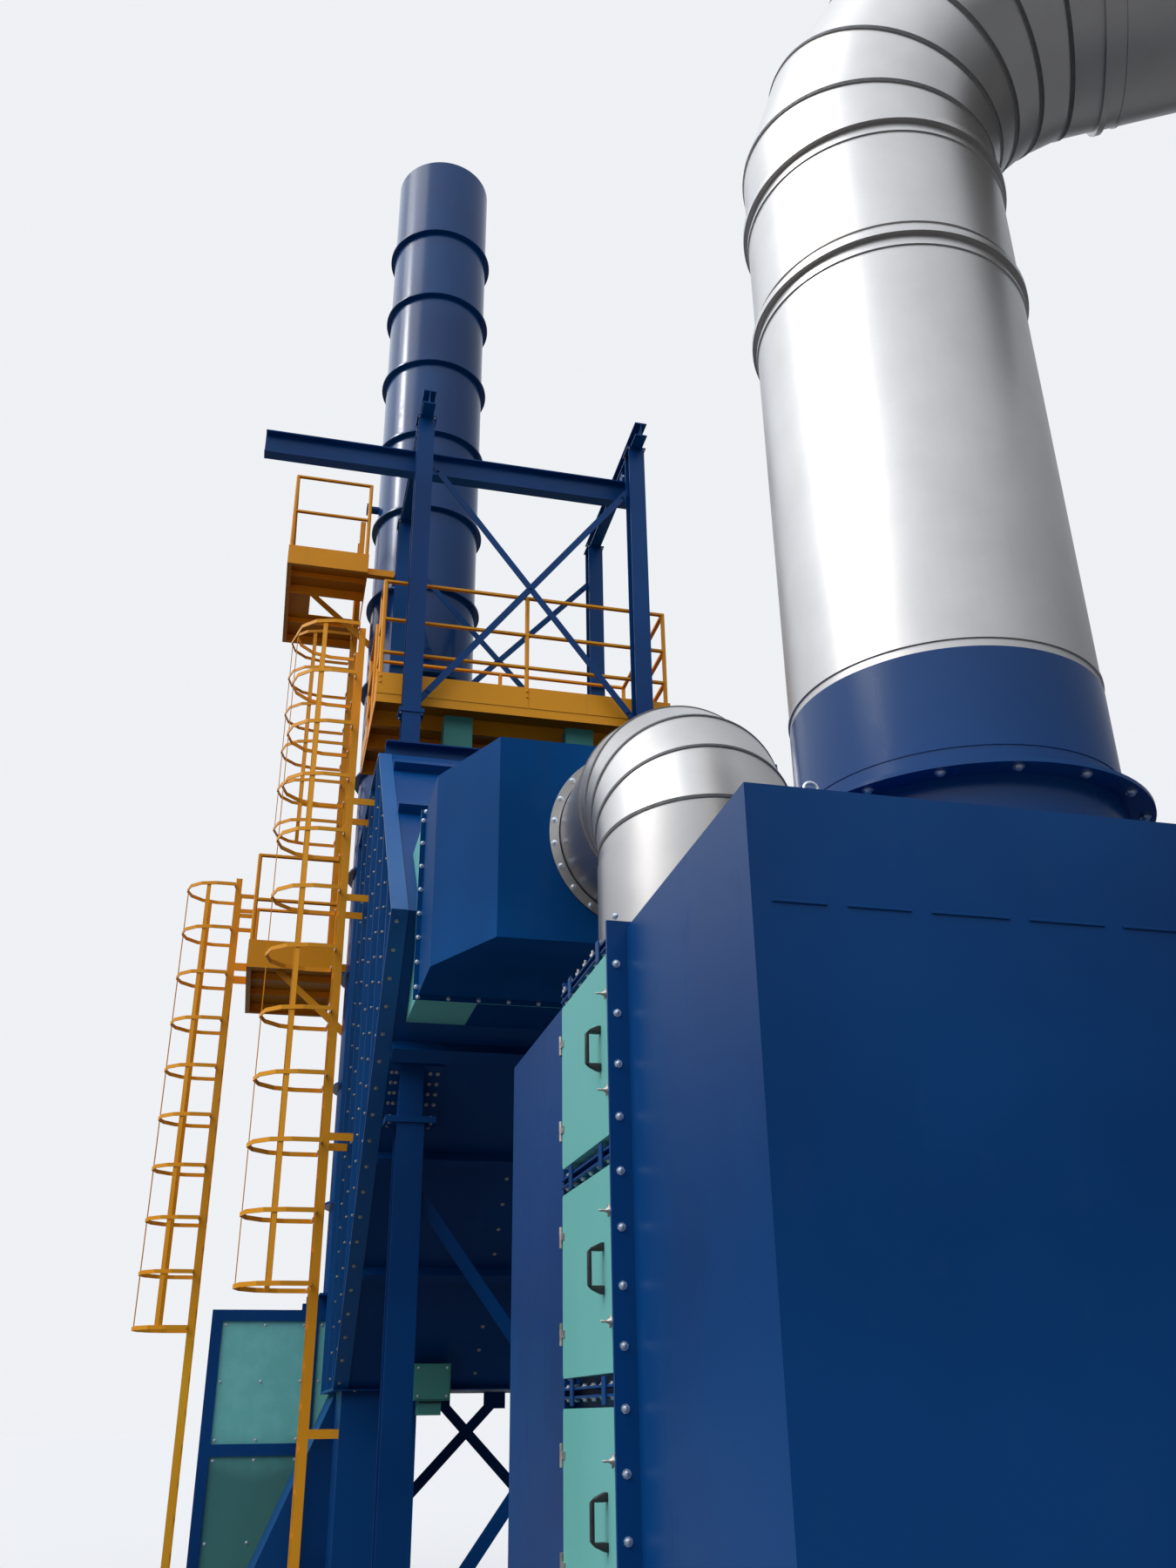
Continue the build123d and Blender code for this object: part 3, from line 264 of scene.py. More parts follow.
disc(8, WASHER_R, WASHER_T)
bpy.ops.mesh.inset(thickness=WASHER_R - BOLT_R)
draw_out((0, 0, HEX_HIGH))
draw_out((0, 0, DOME_HIGH), DOME_TAPER)
pick("FACE", lambda middle, normal: normal.z < -0.9)
bpy.ops.mesh.delete(type="FACE")
bolt_pattern = smooth(40)


def bolt_up(name, spots, size=1.0, material=zinc.material):
    return set_out(bolt_pattern, name, spots, material, size=size, spin=pi / 4)


lip = FRONT_FLANGE - LIP_T
spots = []
for x in (BOX_X0 - FRONT_LIP, BOX_X1 + FRONT_LIP):
    spots += bolt_row((x, lip, BOX_LOW + FRONT_FOOT), (x, lip, BOX_TOP + FRONT_LIP), FLANGE_PITCH, TO_FRONT)
for z in (BOX_LOW - FRONT_LIP, BOX_TOP + FRONT_LIP):
    spots += bolt_row((BOX_X0 + CORNER_IN, lip, z), (BOX_X1 - CORNER_IN, lip, z), FLANGE_PITCH, TO_FRONT)
lip = REAR_FLANGE - LIP_T
for x in (BOX_X0 - REAR_LIP, BOX_X1 + REAR_LIP):
    spots += bolt_row((x, lip, BOX_LOW + REAR_FOOT), (x, lip, BOX_TOP - REAR_HEAD), FLANGE_PITCH, TO_FRONT)
z = BOX_TOP + REAR_LIP
spots += bolt_row((BOX_X0 + CORNER_IN, lip, z), (BOX_X1 - CORNER_IN, lip, z), FLANGE_PITCH, TO_FRONT)
bolt_up("housing_flange_bolts", spots, size=0.78)

# Lap seam across the housing's front: the upper steel sheet ends over the lower one.
# Short stitch welds hold it, with gaps between them, and the paint runs over the whole.

LAP_Z, LAP_START, LAP_END, LAP_GAP, LAP_PROUD, LAP_TALL = 2.844, 0.058, 0.02, 0.06, 0.005, 0.008
LAP_LENGTHS = (0.16, 0.19, 0.24, 0.24, 0.24, 0.24, 0.24)


def plate(name, low, high, material, body="plant", edge=0.0012):
    # flat piece from its low corner to its high corner, with its edges broken
    clear()
    bpy.ops.mesh.primitive_cube_add(size=1, location=[(a + b) / 2 for a, b in zip(low, high)])
    bpy.ops.object.mode_set(mode="EDIT")
    bpy.ops.transform.resize(value=[b - a for a, b in zip(low, high)])
    bpy.ops.mesh.bevel(offset=edge, segments=1, affect="EDGES")
    return settle(name, material, body)


def weld(name, pieces, body="plant"):
    # joins finished pieces of one finish into one named piece
    clear()
    for piece in pieces:
        piece.select_set(True)
    bpy.context.view_layer.objects.active = pieces[0]
    bpy.ops.object.join()
    return settle(name, pieces[0].data.materials[0], body)


laps = []
x = BOX_X0 + LAP_START
for length in LAP_LENGTHS:
    end = min(x + length, BOX_X1 - LAP_END)
    laps.append(plate("lap", (x, BOX_FRONT - LAP_PROUD, LAP_Z), (end, BOX_FRONT, LAP_Z + LAP_TALL), blue))
    x = end + LAP_GAP
weld("front_lap_seam", laps)

# Lifting eyes on the front edge of the housing's roof: forged, zinc-plated steel rings.
# They are cut off level with the roof and welded down on it.

EYE_R, EYE_ROD, EYE_IN, EYE_BACK, EYE_LIFT = 0.021, 0.0055, 0.215, 0.03, 0.012
for name, x in (("left", BOX_X0 + EYE_IN), ("right", BOX_X1 - EYE_IN)):
    clear()
    bpy.ops.mesh.primitive_torus_add(location=(x, BOX_FRONT + EYE_BACK, BOX_TOP + EYE_LIFT),
                                     rotation=(pi / 2, 0, 0), major_radius=EYE_R, minor_radius=EYE_ROD,
                                     major_segments=20, minor_segments=8)
    bpy.ops.object.mode_set(mode="EDIT")
    bpy.ops.mesh.bisect(plane_co=(x, BOX_FRONT, BOX_TOP), plane_no=(0, 0, 1), clear_inner=True, use_fill=True)
    bpy.ops.object.mode_set(mode="OBJECT")
    bpy.ops.object.shade_smooth()
    settle("lifting_eye_" + name, zinc.material)

# Doors: folded sheet pans in mint enamel, one over the other in the housing's left side.
# Each has a black moulded bow handle, drawn here from its foot to the middle of the grip and mirrored.
# A handle is screwed to its door, so it rides with it.

DOOR_Y0, DOOR_FACE, DOOR_H, DOOR_PITCH, DOOR_Z0 = -4.425, 0.2147, 0.646, 0.746, 0.977
HANDLE_Y, HANDLE_OUT, HANDLE_WIDE, GRIP_T, GRIP_SLIM, GRIP_FULL = -4.29, 0.056, 0.028, 0.013, 0.85, 1.3
FOOT_Z, FOOT_TALL, FOOT_T, FOOT_DRAFT, CORNER_Z, BOW_EDGE = 0.069, 0.027, 0.012, 0.001, 0.062, 0.0025
doors = [(place, "door_%s_body" % place, DOOR_Z0 + DOOR_PITCH * number + DOOR_H / 2)
         for number, place in enumerate(("bottom", "middle", "top"))]
mint = enamel("mint_enamel", (0.14, 0.47, 0.42), (0.18, 0.53, 0.49), (0.25, 0.42, 0.39), 0.45, 0.22)
coat(mint, "door_bottom", "door_middle", "door_top")
black = Finish("black_nylon", 0.45)
grain = black.noise(400.0, 2)
black.feed("Base Color", black.blend(black.noise(12.0, 3), (0.012, 0.012, 0.013), (0.035, 0.035, 0.037)))
black.feed("Roughness", black.between(grain, 0.3, 0.7, 0.38, 0.58))
black.bump(grain, 0.3, 0.0006)


def stand_in(name, material, node, body="plant"):
    # settles the piece just shaped in the place of a plainer node
    piece = settle(name, material, body)
    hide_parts(node)
    return piece


for place, body, level in doors:
    clear()
    bpy.ops.mesh.primitive_plane_add(size=1, location=(DOOR_FACE, HANDLE_Y, level), rotation=(0, -pi / 2, 0))
    bpy.ops.object.mode_set(mode="EDIT")
    bpy.ops.transform.resize(value=(1, HANDLE_WIDE, FOOT_TALL))
    bpy.ops.transform.translate(value=(0, 0, -FOOT_Z))
    draw_out((-FOOT_T, 0, FOOT_DRAFT))
    draw_out((GRIP_T / 2 + FOOT_T - HANDLE_OUT, 0, FOOT_Z - CORNER_Z))
    bpy.ops.transform.resize(value=(1, GRIP_SLIM, GRIP_T / FOOT_TALL * GRIP_FULL))
    corner = (DOOR_FACE + GRIP_T / 2 - HANDLE_OUT, HANDLE_Y, level + FOOT_DRAFT - CORNER_Z)
    bpy.ops.transform.rotate(value=pi / 4, orient_axis="Y", center_override=corner)
    draw_out((0, 0, CORNER_Z))
    bpy.ops.transform.resize(value=(1, 1, 0))
    bpy.ops.mesh.delete(type="FACE")
    bpy.ops.object.mode_set(mode="OBJECT")
    bpy.ops.object.transform_apply(location=False, rotation=True, scale=True)
    bow = bpy.context.object
    bow.modifiers.new("other_half", "MIRROR").use_axis = (False, False, True)
    bpy.ops.object.modifier_apply(modifier="other_half")
    bpy.ops.object.mode_set(mode="EDIT")
    bpy.ops.mesh.select_all(action="SELECT")
    bpy.ops.mesh.normals_make_consistent(inside=False)
    pick("EDGE", lambda middle, along: abs(middle.z - level) > 0.001 or abs(along.z) > 0.01)
    bpy.ops.mesh.bevel(offset=BOW_EDGE, segments=2, affect="EDGES")
    smooth(40)
    stand_in("bow_handle_" + place, black.material, "handle_" + place, body)

# Frame round the doors: two folded steel angles over the upper door, and flat straps across the seams.
# All are painted with the housing and screwed through its lips, in a close row above and below each seam.

SEAM_LIP, SEAM_HALF, SEAM_BOLT_PITCH, SEAM_BOLT_IN, SEAM_END_IN = 0.056, 0.014, 0.118, 0.022, 0.04
STRAP_YS, STRAP_T, STRAP_HALF_W, STRAP_HALF_H, ANGLE_IN = (-4.265, -3.80), 0.006, 0.024, 0.042, 0.009
LIP_X = BOX_X0 - SEAM_LIP
seams = [DOOR_Z0 + DOOR_H + (DOOR_PITCH - DOOR_H) / 2 + DOOR_PITCH * number for number in range(len(doors))]
head = seams[-1]
weld("door_head_angles", [plate("angle", (LIP_X, FRONT_FLANGE + ANGLE_IN, head + lift - LIP_T / 2),
                                (BOX_X0, REAR_FLANGE - ANGLE_IN, head + lift + LIP_T / 2), blue)
                          for lift in (-SEAM_HALF, SEAM_HALF)])
weld("door_frame_straps", [plate("strap", (LIP_X - STRAP_T, y - STRAP_HALF_W, seam - STRAP_HALF_H),
                                 (LIP_X, y + STRAP_HALF_W, seam + STRAP_HALF_H), blue)
                           for seam in seams for y in STRAP_YS])
bolt_line = row((LIP_X + SEAM_BOLT_IN, FRONT_FLANGE + SEAM_END_IN, 0),
                (LIP_X + SEAM_BOLT_IN, REAR_FLANGE - SEAM_END_IN, 0), SEAM_BOLT_PITCH)
bolt_up("door_seam_bolts", [((p.x, p.y, seam + up * (SEAM_HALF + LIP_T / 2)), (0, 0, up))
                            for seam in seams for p in bolt_line for up in (-1, 1)], size=0.85)

# Hinges: pressed steel leaves with a rolled knuckle, two to a door, left bare.
# The upper and lower thirds stay on the housing's lip; the middle third turns with the door.

HINGE_X, HINGE_Y, HINGE_OFF, HINGE_HALF, KNUCKLE_R = 0.215, -3.64, 0.172, 0.039, 0.009
KNUCKLE_GAP, PIN_RIM, PIN_DISH = 0.0005, 0.00405, 0.0008
LEAF_T, LEAF_EDGE, LEAF_W, LEAF_GAP, LEAF_IN = 0.004, 0.0006, 0.055, 0.006, 0.005
HINGE_THIRD, HINGE_BACK = HINGE_HALF / 3, REAR_FLANGE - 0.0085
satin = Finish("satin_steel", 0.42, metallic=1.0)
satin_haze = satin.noise(30.0, 4)
satin.feed("Base Color", satin.blend(satin_haze, (0.34, 0.32, 0.29), (0.58, 0.56, 0.52)))
satin.feed("Roughness", satin.between(satin_haze, 0.3, 0.7, 0.36, 0.58))


def knuckle(low, high, body="plant"):
    clear()
    bpy.ops.mesh.primitive_cylinder_add(vertices=14, radius=KNUCKLE_R, depth=high - low,
                                        location=(HINGE_X, HINGE_Y, (low + high) / 2))
    bpy.ops.object.mode_set(mode="EDIT")
    pick("FACE", lambda middle, normal: abs(normal.z) > 0.9)
    bpy.ops.mesh.inset(thickness=PIN_RIM)
    bpy.ops.mesh.extrude_region_shrink_fatten(TRANSFORM_OT_shrink_fatten={"value": -PIN_DISH})
    smooth(40)
    return settle("knuckle", satin.material, body)


def leaf(low, high, body="plant"):
    return plate("leaf", low, high, satin.material, body, LEAF_EDGE)


for place, body, level in doors:
    for end, z in (("low", level - HINGE_OFF), ("high", level + HINGE_OFF)):
        name, low, high = "hinge_%s_%s" % (place, end), z - HINGE_HALF, z + HINGE_HALF
        weld(name + "_leaf", [knuckle(low, z - HINGE_THIRD), knuckle(z + HINGE_THIRD, high),
                              leaf((HINGE_X - LEAF_T / 2, HINGE_Y + LEAF_GAP, low),
                                   (HINGE_X + LEAF_T / 2, HINGE_BACK, high)),
                              leaf((HINGE_X - LEAF_T / 2, HINGE_BACK - LEAF_T, low),
                                   (BOX_X0 - LEAF_IN, HINGE_BACK, high))])
        weld(name + "_door_leaf", [knuckle(z - HINGE_THIRD + KNUCKLE_GAP, z + HINGE_THIRD - KNUCKLE_GAP, body),
                                   leaf((DOOR_FACE - LEAF_T, HINGE_Y - LEAF_W, z - HINGE_THIRD),
                                        (DOOR_FACE, HINGE_Y - LEAF_GAP, z + HINGE_THIRD), body)], body)

# Studs: threaded steel ends with a heavy nut, one modelled and copied.
# Smaller ones stand up out of the angle over the upper door. Larger ones, grouted into the floor,
# hold down the six feet of the housing's base frame.

STUD_R, NUT_R, NUT_HIGH, STUD_HIGH, STUD_TIP, TIP_TAPER = 0.007, 0.0135, 0.013, 0.016, 0.002, 0.7
HEAD_STUD_PITCH, HEAD_STUD_IN = 0.125, 0.008
HEAD_STUD_Y0, HEAD_STUD_Y1 = FRONT_FLANGE + 0.07, REAR_FLANGE - 0.05
BASE_T, FOOT_IN, FOOT_BACK, ANCHOR_OUT = 0.020, 0.06, 0.15, 0.09
disc(8, NUT_R, NUT_HIGH)
bpy.ops.mesh.inset(thickness=NUT_R - STUD_R)
draw_out((0, 0, STUD_HIGH))
draw_out((0, 0, STUD_TIP), TIP_TAPER)
stud_pattern = smooth(40)
x, z = LIP_X + HEAD_STUD_IN, head + SEAM_HALF + LIP_T / 2
spots = bolt_row((x, HEAD_STUD_Y0, z), (x, HEAD_STUD_Y1, z), HEAD_STUD_PITCH, TO_SKY)
set_out(stud_pattern, "head_studs", spots, satin.material, size=0.85, spin=pi / 4)


def anchors(name, feet, out, size):
    # four studs round the middle of each foot
    spots = [((x + across * out, y + along * out, BASE_T), TO_SKY) for x, y in feet
             for across in (-1, 1) for along in (-1, 1)]
    set_out(stud_pattern, name, spots, zinc.material, size=size, spin=pi / 4)


feet = [(x, y) for x in (BOX_X0 + FOOT_IN, BOX_X1 - FOOT_IN)
        for y in (BOX_FRONT + FOOT_BACK, (BOX_FRONT + BOX_REAR) / 2, BOX_REAR - FOOT_BACK)]
anchors("housing_anchor_studs", feet, ANCHOR_OUT, 1.5)

# Clamps: satin steel studs, each with a tapered wing nut on a broad washer, two at each door's front edge.
# They hold the door shut against the housing's lip, and ride with the door.

CLAMP_R, CLAMP_T, CLAMP_RIM, CLAMP_IN, WING_OUT, WING_LIFT = 0.016, 0.004, 0.0035, 0.024, 0.009, 0.002
WING_SLIM, WING_LOW, WING_Z0, WING_Z1 = 0.6, 0.9, 0.005, 0.010
CLAMP_STEPS = ((0.007, 0.85), (0.008, 0.55), (0.004, 0.8), (0.016, 0.85), (0.003, 0.5))
disc(12, CLAMP_R, CLAMP_T)
bpy.ops.mesh.inset(thickness=CLAMP_RIM)
for rise, taper in CLAMP_STEPS:
    draw_out((0, 0, rise), taper)
for way in (-1, 1):
    pick("FACE", lambda middle, normal: normal.y * way > 0.8 and WING_Z0 < middle.z < WING_Z1)
    draw_out((0, way * WING_OUT, WING_LIFT))
    bpy.ops.transform.resize(value=(WING_SLIM, 1, WING_LOW))
clamp_pattern = smooth(35)
for place, body, level in doors:
    spots = [((DOOR_FACE, DOOR_Y0 + CLAMP_IN, level + way * HINGE_OFF), TO_LEFT) for way in (-1, 1)]
    set_out(clamp_pattern, "clamps_" + place, spots, satin.material, body)
bpy.data.objects.remove(clamp_pattern)

# Inlet duct: bright rolled stainless sheet, beaded near its joints and held there by band rings.
# It stands on a blue painted collar with a bolted rim. The bend is welded from mitred gores.
# A round length is a ring of sheet, drawn up step by step through a closed profile.

DUCT, DUCT_R, DUCT_WALL, ROUND = (1.3175, -5.06), 0.549, 0.004, 96
BAND_OUT, BAND_T, BEAD_OUT, BEAD_T, TOP_BEAD = 0.020, 0.030, 0.006, 0.015, 0.085
COLLAR_TOP, DUCT_JOINT, ELBOW_START, ELBOW_LEAD, ELBOW_TAIL, ELBOW_R = 3.836, 5.709, 6.336, 0.083, 0.06, 1.002
GORES, SEAM_W, SLEEVE, BEAD_SLOPE, MERGE = 5, 0.009, 0.004, 0.001, 0.00005
RUN_ANGLE, RUN_LENGTH, RUN_BEAD, RUN_LIP, RUN_LIP_T = math.radians(-29.5), 1.5, 0.09, 0.045, 0.012
RIM_Z, RIM_T, RIM_OUT, RIM_BOLTS, RIM_BOLT_OUT = 0.18, 0.016, 0.083, 16, 0.05
COLLAR_PROUD, COLLAR_WALL, WELD_Z, WELD_T, WELD_OUT = 0.003, 0.007, 0.28, 0.012, 0.003
stainless = Finish("rolled_stainless", 0.34, metallic=1.0)
sheen = stainless.noise(2.2, 3, (1.0, 1.0, 0.25))
mill = stainless.noise(1.0, 3, (120.0, 120.0, 2.0))
haze = stainless.noise(3.5, 5, rough=0.65)
stainless.feed("Base Color", stainless.blend(haze, (0.44, 0.42, 0.405), (0.57, 0.548, 0.53)))
stainless.feed("Roughness", 0.27 + sheen * 0.14 + mill * 0.06)
stainless.bump(stainless.noise(1.6, 2) * 3.0 + mill * 0.08, 0.35, 0.004)
seal = Finish("seam_seal", 0.6)
seal.feed("Base Color", seal.blend(seal.noise(30.0, 4), (0.05, 0.05, 0.05), (0.12, 0.12, 0.12)))
seal.feed("Roughness", seal.between(seal.noise(80.0, 2), 0.3, 0.7, 0.5, 0.75))
glossy_blue = enamel("glossy_blue_enamel", DEEP_BLUE, FADED_BLUE, BLUE_DUST, gloss=0.2, shine=0.25)


def draw_round(centre, profile, sides=ROUND):
    # draws a ring of sheet through the (radius, height) pairs of a closed profile, about an upright axis
    x, y = centre
    radius, level = profile[0]
    clear()
    bpy.ops.mesh.primitive_circle_add(vertices=sides, radius=radius, location=(x, y, level))
    bpy.ops.object.mode_set(mode="EDIT")
    bpy.ops.mesh.select_mode(type="EDGE")
    for next_radius, next_level in profile[1:] + profile[:1]:
        bpy.ops.mesh.extrude_edges_move(TRANSFORM_OT_translate={"value": (0, 0, next_level - level)})
        if next_radius != radius:
            scale = next_radius / radius
            bpy.ops.transform.resize(value=(scale, scale, 1), center_override=(x, y, next_level))
        radius, level = next_radius, next_level
    bpy.ops.mesh.select_all(action="SELECT")
    bpy.ops.mesh.remove_doubles(threshold=MERGE)
    bpy.ops.mesh.normals_make_consistent(inside=False)
    return smooth(35)


def beaded(radius, low, high, beads, wall=DUCT_WALL):
    # closed profile of a tube with raised beads, each given as bottom, top and how far it stands out
    outline = [(radius, low)]
    for bottom, top, proud in beads:
        for spot in ((radius, bottom), (radius + proud, bottom + BEAD_SLOPE),
                     (radius + proud, top - BEAD_SLOPE), (radius, top)):
            if spot != outline[-1]:
                outline.append(spot)
    if outline[-1] != (radius, high):
        outline.append((radius, high))
    return outline + [(radius - wall, high), (radius - wall, low)]


def gored_bend(name, node, place, heading, radius, bend, lead, tail):
    # mitred bend of rolled sheet, rising at its place and turning to its heading, with a bead at each seam
    half = pi / 4 / GORES
    seams = [half * (2 * number + 1) for number in range(GORES)]
    centre = (bend, 0, 0)
    clear()
    bpy.ops.mesh.primitive_circle_add(vertices=ROUND, radius=radius, location=(0, 0, -lead))
    bpy.ops.object.mode_set(mode="EDIT")
    bpy.ops.mesh.select_mode(type="EDGE")
    if lead:
        bpy.ops.mesh.extrude_edges_move(TRANSFORM_OT_translate={"value": (0, 0, lead)})
    stretch = 1 / math.cos(half)
    for number in range(GORES + 1):
        turn = half if number in (0, GORES) else 2 * half
        bpy.ops.mesh.extrude_edges_move()
        bpy.ops.transform.rotate(value=-turn, orient_axis="Y", center_override=centre)
        if number == 0:
            bpy.ops.transform.resize(value=(stretch, 1, stretch), center_override=centre)
        elif number == GORES:
            bpy.ops.transform.resize(value=(1 / stretch, 1, 1 / stretch), center_override=centre)
    if tail:
        bpy.ops.mesh.extrude_edges_move(TRANSFORM_OT_translate={"value": (tail, 0, 0)})

    def on_seam(middle, along):
        angle = math.atan2(middle.z, bend - middle.x)
        axis = Vector((math.sin(angle), 0, math.cos(angle)))
        return min(abs(angle - seam) for seam in seams) < 0.004 and abs(along.normalized().dot(axis)) < 0.2

    bpy.ops.mesh.select_all(action="SELECT")
    bpy.ops.mesh.normals_make_consistent(inside=False)
    pick("EDGE", on_seam)
    bpy.ops.mesh.bevel(offset=SEAM_W, segments=1, affect="EDGES")
    bpy.ops.mesh.select_mode(type="FACE")
    bpy.ops.mesh.extrude_region_shrink_fatten(TRANSFORM_OT_shrink_fatten={"value": BEAD_OUT})
    bpy.ops.mesh.select_all(action="SELECT")
    bpy.ops.mesh.remove_doubles(threshold=MERGE)
    bpy.ops.mesh.normals_make_consistent(inside=False)
    bpy.ops.object.mode_set(mode="OBJECT")
    bpy.ops.object.transform_apply(location=True, rotation=True, scale=True)
    piece = bpy.context.object
    piece.rotation_euler = (0, 0, heading)
    piece.location = place
    bpy.ops.object.transform_apply(location=True, rotation=True, scale=True)
    piece.modifiers.new("wall", "SOLIDIFY").thickness = DUCT_WALL
    piece.modifiers["wall"].offset = -1
    bpy.ops.object.modifier_apply(modifier="wall")
    smooth(30)
    piece = stand_in(name, stainless.material, node)
    # the narrow faces at each mitre take the seal
    piece.data.materials.append(seal.material)
    for face in piece.data.polygons:
        away = face.center - Vector(place)
        inward = bend - away.x * math.cos(heading) - away.y * math.sin(heading)
        angle, reach = math.atan2(away.z, inward), math.hypot(away.z, inward)
        if any(abs(angle - seam) * reach < SEAM_W - 0.0005 for seam in seams):
            face.material_index = 1


for name, low, high, foot_bead in (("inlet_duct_lower", COLLAR_TOP, DUCT_JOINT, 0.03),
                                   ("inlet_duct_upper", DUCT_JOINT, ELBOW_START, 0.035)):
    beads = [(z, z + BEAD_T, BEAD_OUT) for z in (low + foot_bead, high - TOP_BEAD)]
    draw_round(DUCT, beaded(DUCT_R, low, high, beads + [(high - BAND_T, high, BAND_OUT)]))
    stand_in(name + "_sheet", stainless.material, name)

gored_bend("inlet_bend_sheet", "inlet_elbow", (*DUCT, ELBOW_START + ELBOW_LEAD), RUN_ANGLE,
           DUCT_R + SLEEVE - BEAD_OUT, ELBOW_R, ELBOW_LEAD, ELBOW_TAIL)

run_beads = [(0, BAND_T, BAND_OUT), (RUN_BEAD, RUN_BEAD + BEAD_T, BEAD_OUT),
             (RUN_LENGTH - RUN_LIP_T, RUN_LENGTH, RUN_LIP)]
piece = draw_round((0, 0), beaded(DUCT_R, 0, RUN_LENGTH, run_beads))
piece.rotation_euler = (0, pi / 2, RUN_ANGLE)
run_start = ELBOW_R + ELBOW_TAIL
piece.location = (DUCT[0] + math.cos(RUN_ANGLE) * run_start, DUCT[1] + math.sin(RUN_ANGLE) * run_start,
                  ELBOW_START + ELBOW_LEAD + ELBOW_R)
stand_in("inlet_run_sheet", stainless.material, "inlet_run")

rim_low, weld_low = BOX_TOP + RIM_Z, BOX_TOP + WELD_Z
collar_beads = [(rim_low, rim_low + RIM_T, RIM_OUT), (weld_low, weld_low + WELD_T, WELD_OUT)]
draw_round(DUCT, beaded(DUCT_R + COLLAR_PROUD, BOX_TOP, COLLAR_TOP, collar_beads, COLLAR_WALL))
stand_in("inlet_collar_plate", glossy_blue, "inlet_collar")


def circle(count, reach):
    # places on a bolt circle, as distances across and up from its middle
    angles = [2 * pi * (step + 0.5) / count for step in range(count)]
    return [(reach * math.cos(angle), reach * math.sin(angle)) for angle in angles]


bolt_up("collar_bolts", [((DUCT[0] + across, DUCT[1] + along, z), out)
                         for across, along in circle(RIM_BOLTS, DUCT_R + RIM_BOLT_OUT)
                         for z, out in ((rim_low + RIM_T, TO_SKY), (rim_low, TO_FLOOR))])

# Crossover duct: the same rolled stainless, from the outlet plenum's roof over to the tower's inlet hood.
# It is a short riser with a foot band, a gored bend, and a loose flange ring bolted to the hood's front.

CROSS, CROSS_R, CROSS_BEND, CROSS_Z, CROSS_BAND = (1.06, -3.04), 0.511, 0.551, 4.602, 0.04
RING_W, RING_PLATE, RING_BOLTS, RING_BOLT_OUT, HOOD_FRONT = 0.055, 0.012, 24, 0.032, -2.09
draw_round(CROSS, beaded(CROSS_R, BOX_TOP, CROSS_Z - CROSS_BEND, [(BOX_TOP, BOX_TOP + CROSS_BAND, BAND_OUT)]))
stand_in("crossover_riser_sheet", stainless.material, "crossover_riser")
gored_bend("crossover_bend_sheet", "crossover_elbow", (*CROSS, CROSS_Z - CROSS_BEND), pi / 2,
           CROSS_R - BEAD_OUT, CROSS_BEND, 0, HOOD_FRONT - CROSS[1] - CROSS_BEND)
piece = draw_round((0, 0), [(CROSS_R, 0), (CROSS_R + RING_W, 0), (CROSS_R + RING_W, RING_PLATE),
                            (CROSS_R, RING_PLATE)])
piece.rotation_euler = (pi / 2, 0, 0)
piece.location = (CROSS[0], HOOD_FRONT, CROSS_Z)
stand_in("crossover_flange_ring", stainless.material, "crossover_elbow")
bolt_up("crossover_bolts", [((CROSS[0] + across, HOOD_FRONT - RING_PLATE, CROSS_Z + up), TO_FRONT)
                            for across, up in circle(RING_BOLTS, CROSS_R + RING_BOLT_OUT)])

# Tower: a welded casing of ribbed plate with a folded front, its roof, floor, sump and support frames.
# All are painted blue. The inlet hood is duller, in a lighter matt blue, and the side ribs are paler as painted
# light, for the light they catch.
# A mint adapter, screwed all round its neck, joins the hood to the folded front.

MID_X, TOWER_HALF, HOOD_HALF, HOOD_LOW, HOOD_HIGH, HOOD_END = 1.06, 1.26, 1.14, 3.955, 5.18, -0.90
NECK_T, NECK_OUT, NECK_PITCH_UP, NECK_PITCH_ACROSS, NECK_IN = 0.008, 0.015, 0.16, 0.19, 0.05
UNDER_T, UNDER_LEFT_IN, UNDER_RIGHT_IN, UNDER_FRONT_IN, UNDER_END = 0.004, 0.39, 0.005, 0.01, -0.27
hood_blue = enamel("matt_blue_enamel", (0.0012, 0.052, 0.190), (0.002, 0.080, 0.275), BLUE_DUST,
                   gloss=0.5, shine=0.04)
# paler blue for the side ribs, as painted light
lit_rib_blue = enamel("rib_blue_enamel", (0.005, 0.085, 0.27), (0.009, 0.11, 0.33), BLUE_DUST, shine=0.3)
coat(blue, "tower_casing", "tower_roof", "tower_floor", "tower_front_ribs", "front_support_frame",
     "rear_support_frame", "sump_casing", "outlet_duct")
coat(hood_blue, "inlet_hood")
coat(lit_rib_blue, "tower_side_ribs")
coat(mint, "hood_adapter")
plate("adapter_under_plate", (MID_X - HOOD_HALF + UNDER_LEFT_IN, HOOD_END + UNDER_FRONT_IN, HOOD_LOW - UNDER_T),
      (MID_X + HOOD_HALF - UNDER_RIGHT_IN, UNDER_END, HOOD_LOW), blue)
spots = []
neck = HOOD_END - NECK_T
for x in (MID_X - HOOD_HALF - NECK_OUT, MID_X + HOOD_HALF + NECK_OUT):
    spots += bolt_row((x, neck, HOOD_LOW + NECK_IN), (x, neck, HOOD_HIGH - NECK_IN), NECK_PITCH_UP, TO_FRONT)
for z in (HOOD_LOW - NECK_OUT, HOOD_HIGH + NECK_OUT):
    spots += bolt_row((MID_X - HOOD_HALF, neck, z), (MID_X + HOOD_HALF, neck, z), NECK_PITCH_ACROSS, TO_FRONT)
bolt_up("hood_neck_bolts", spots, size=0.8)
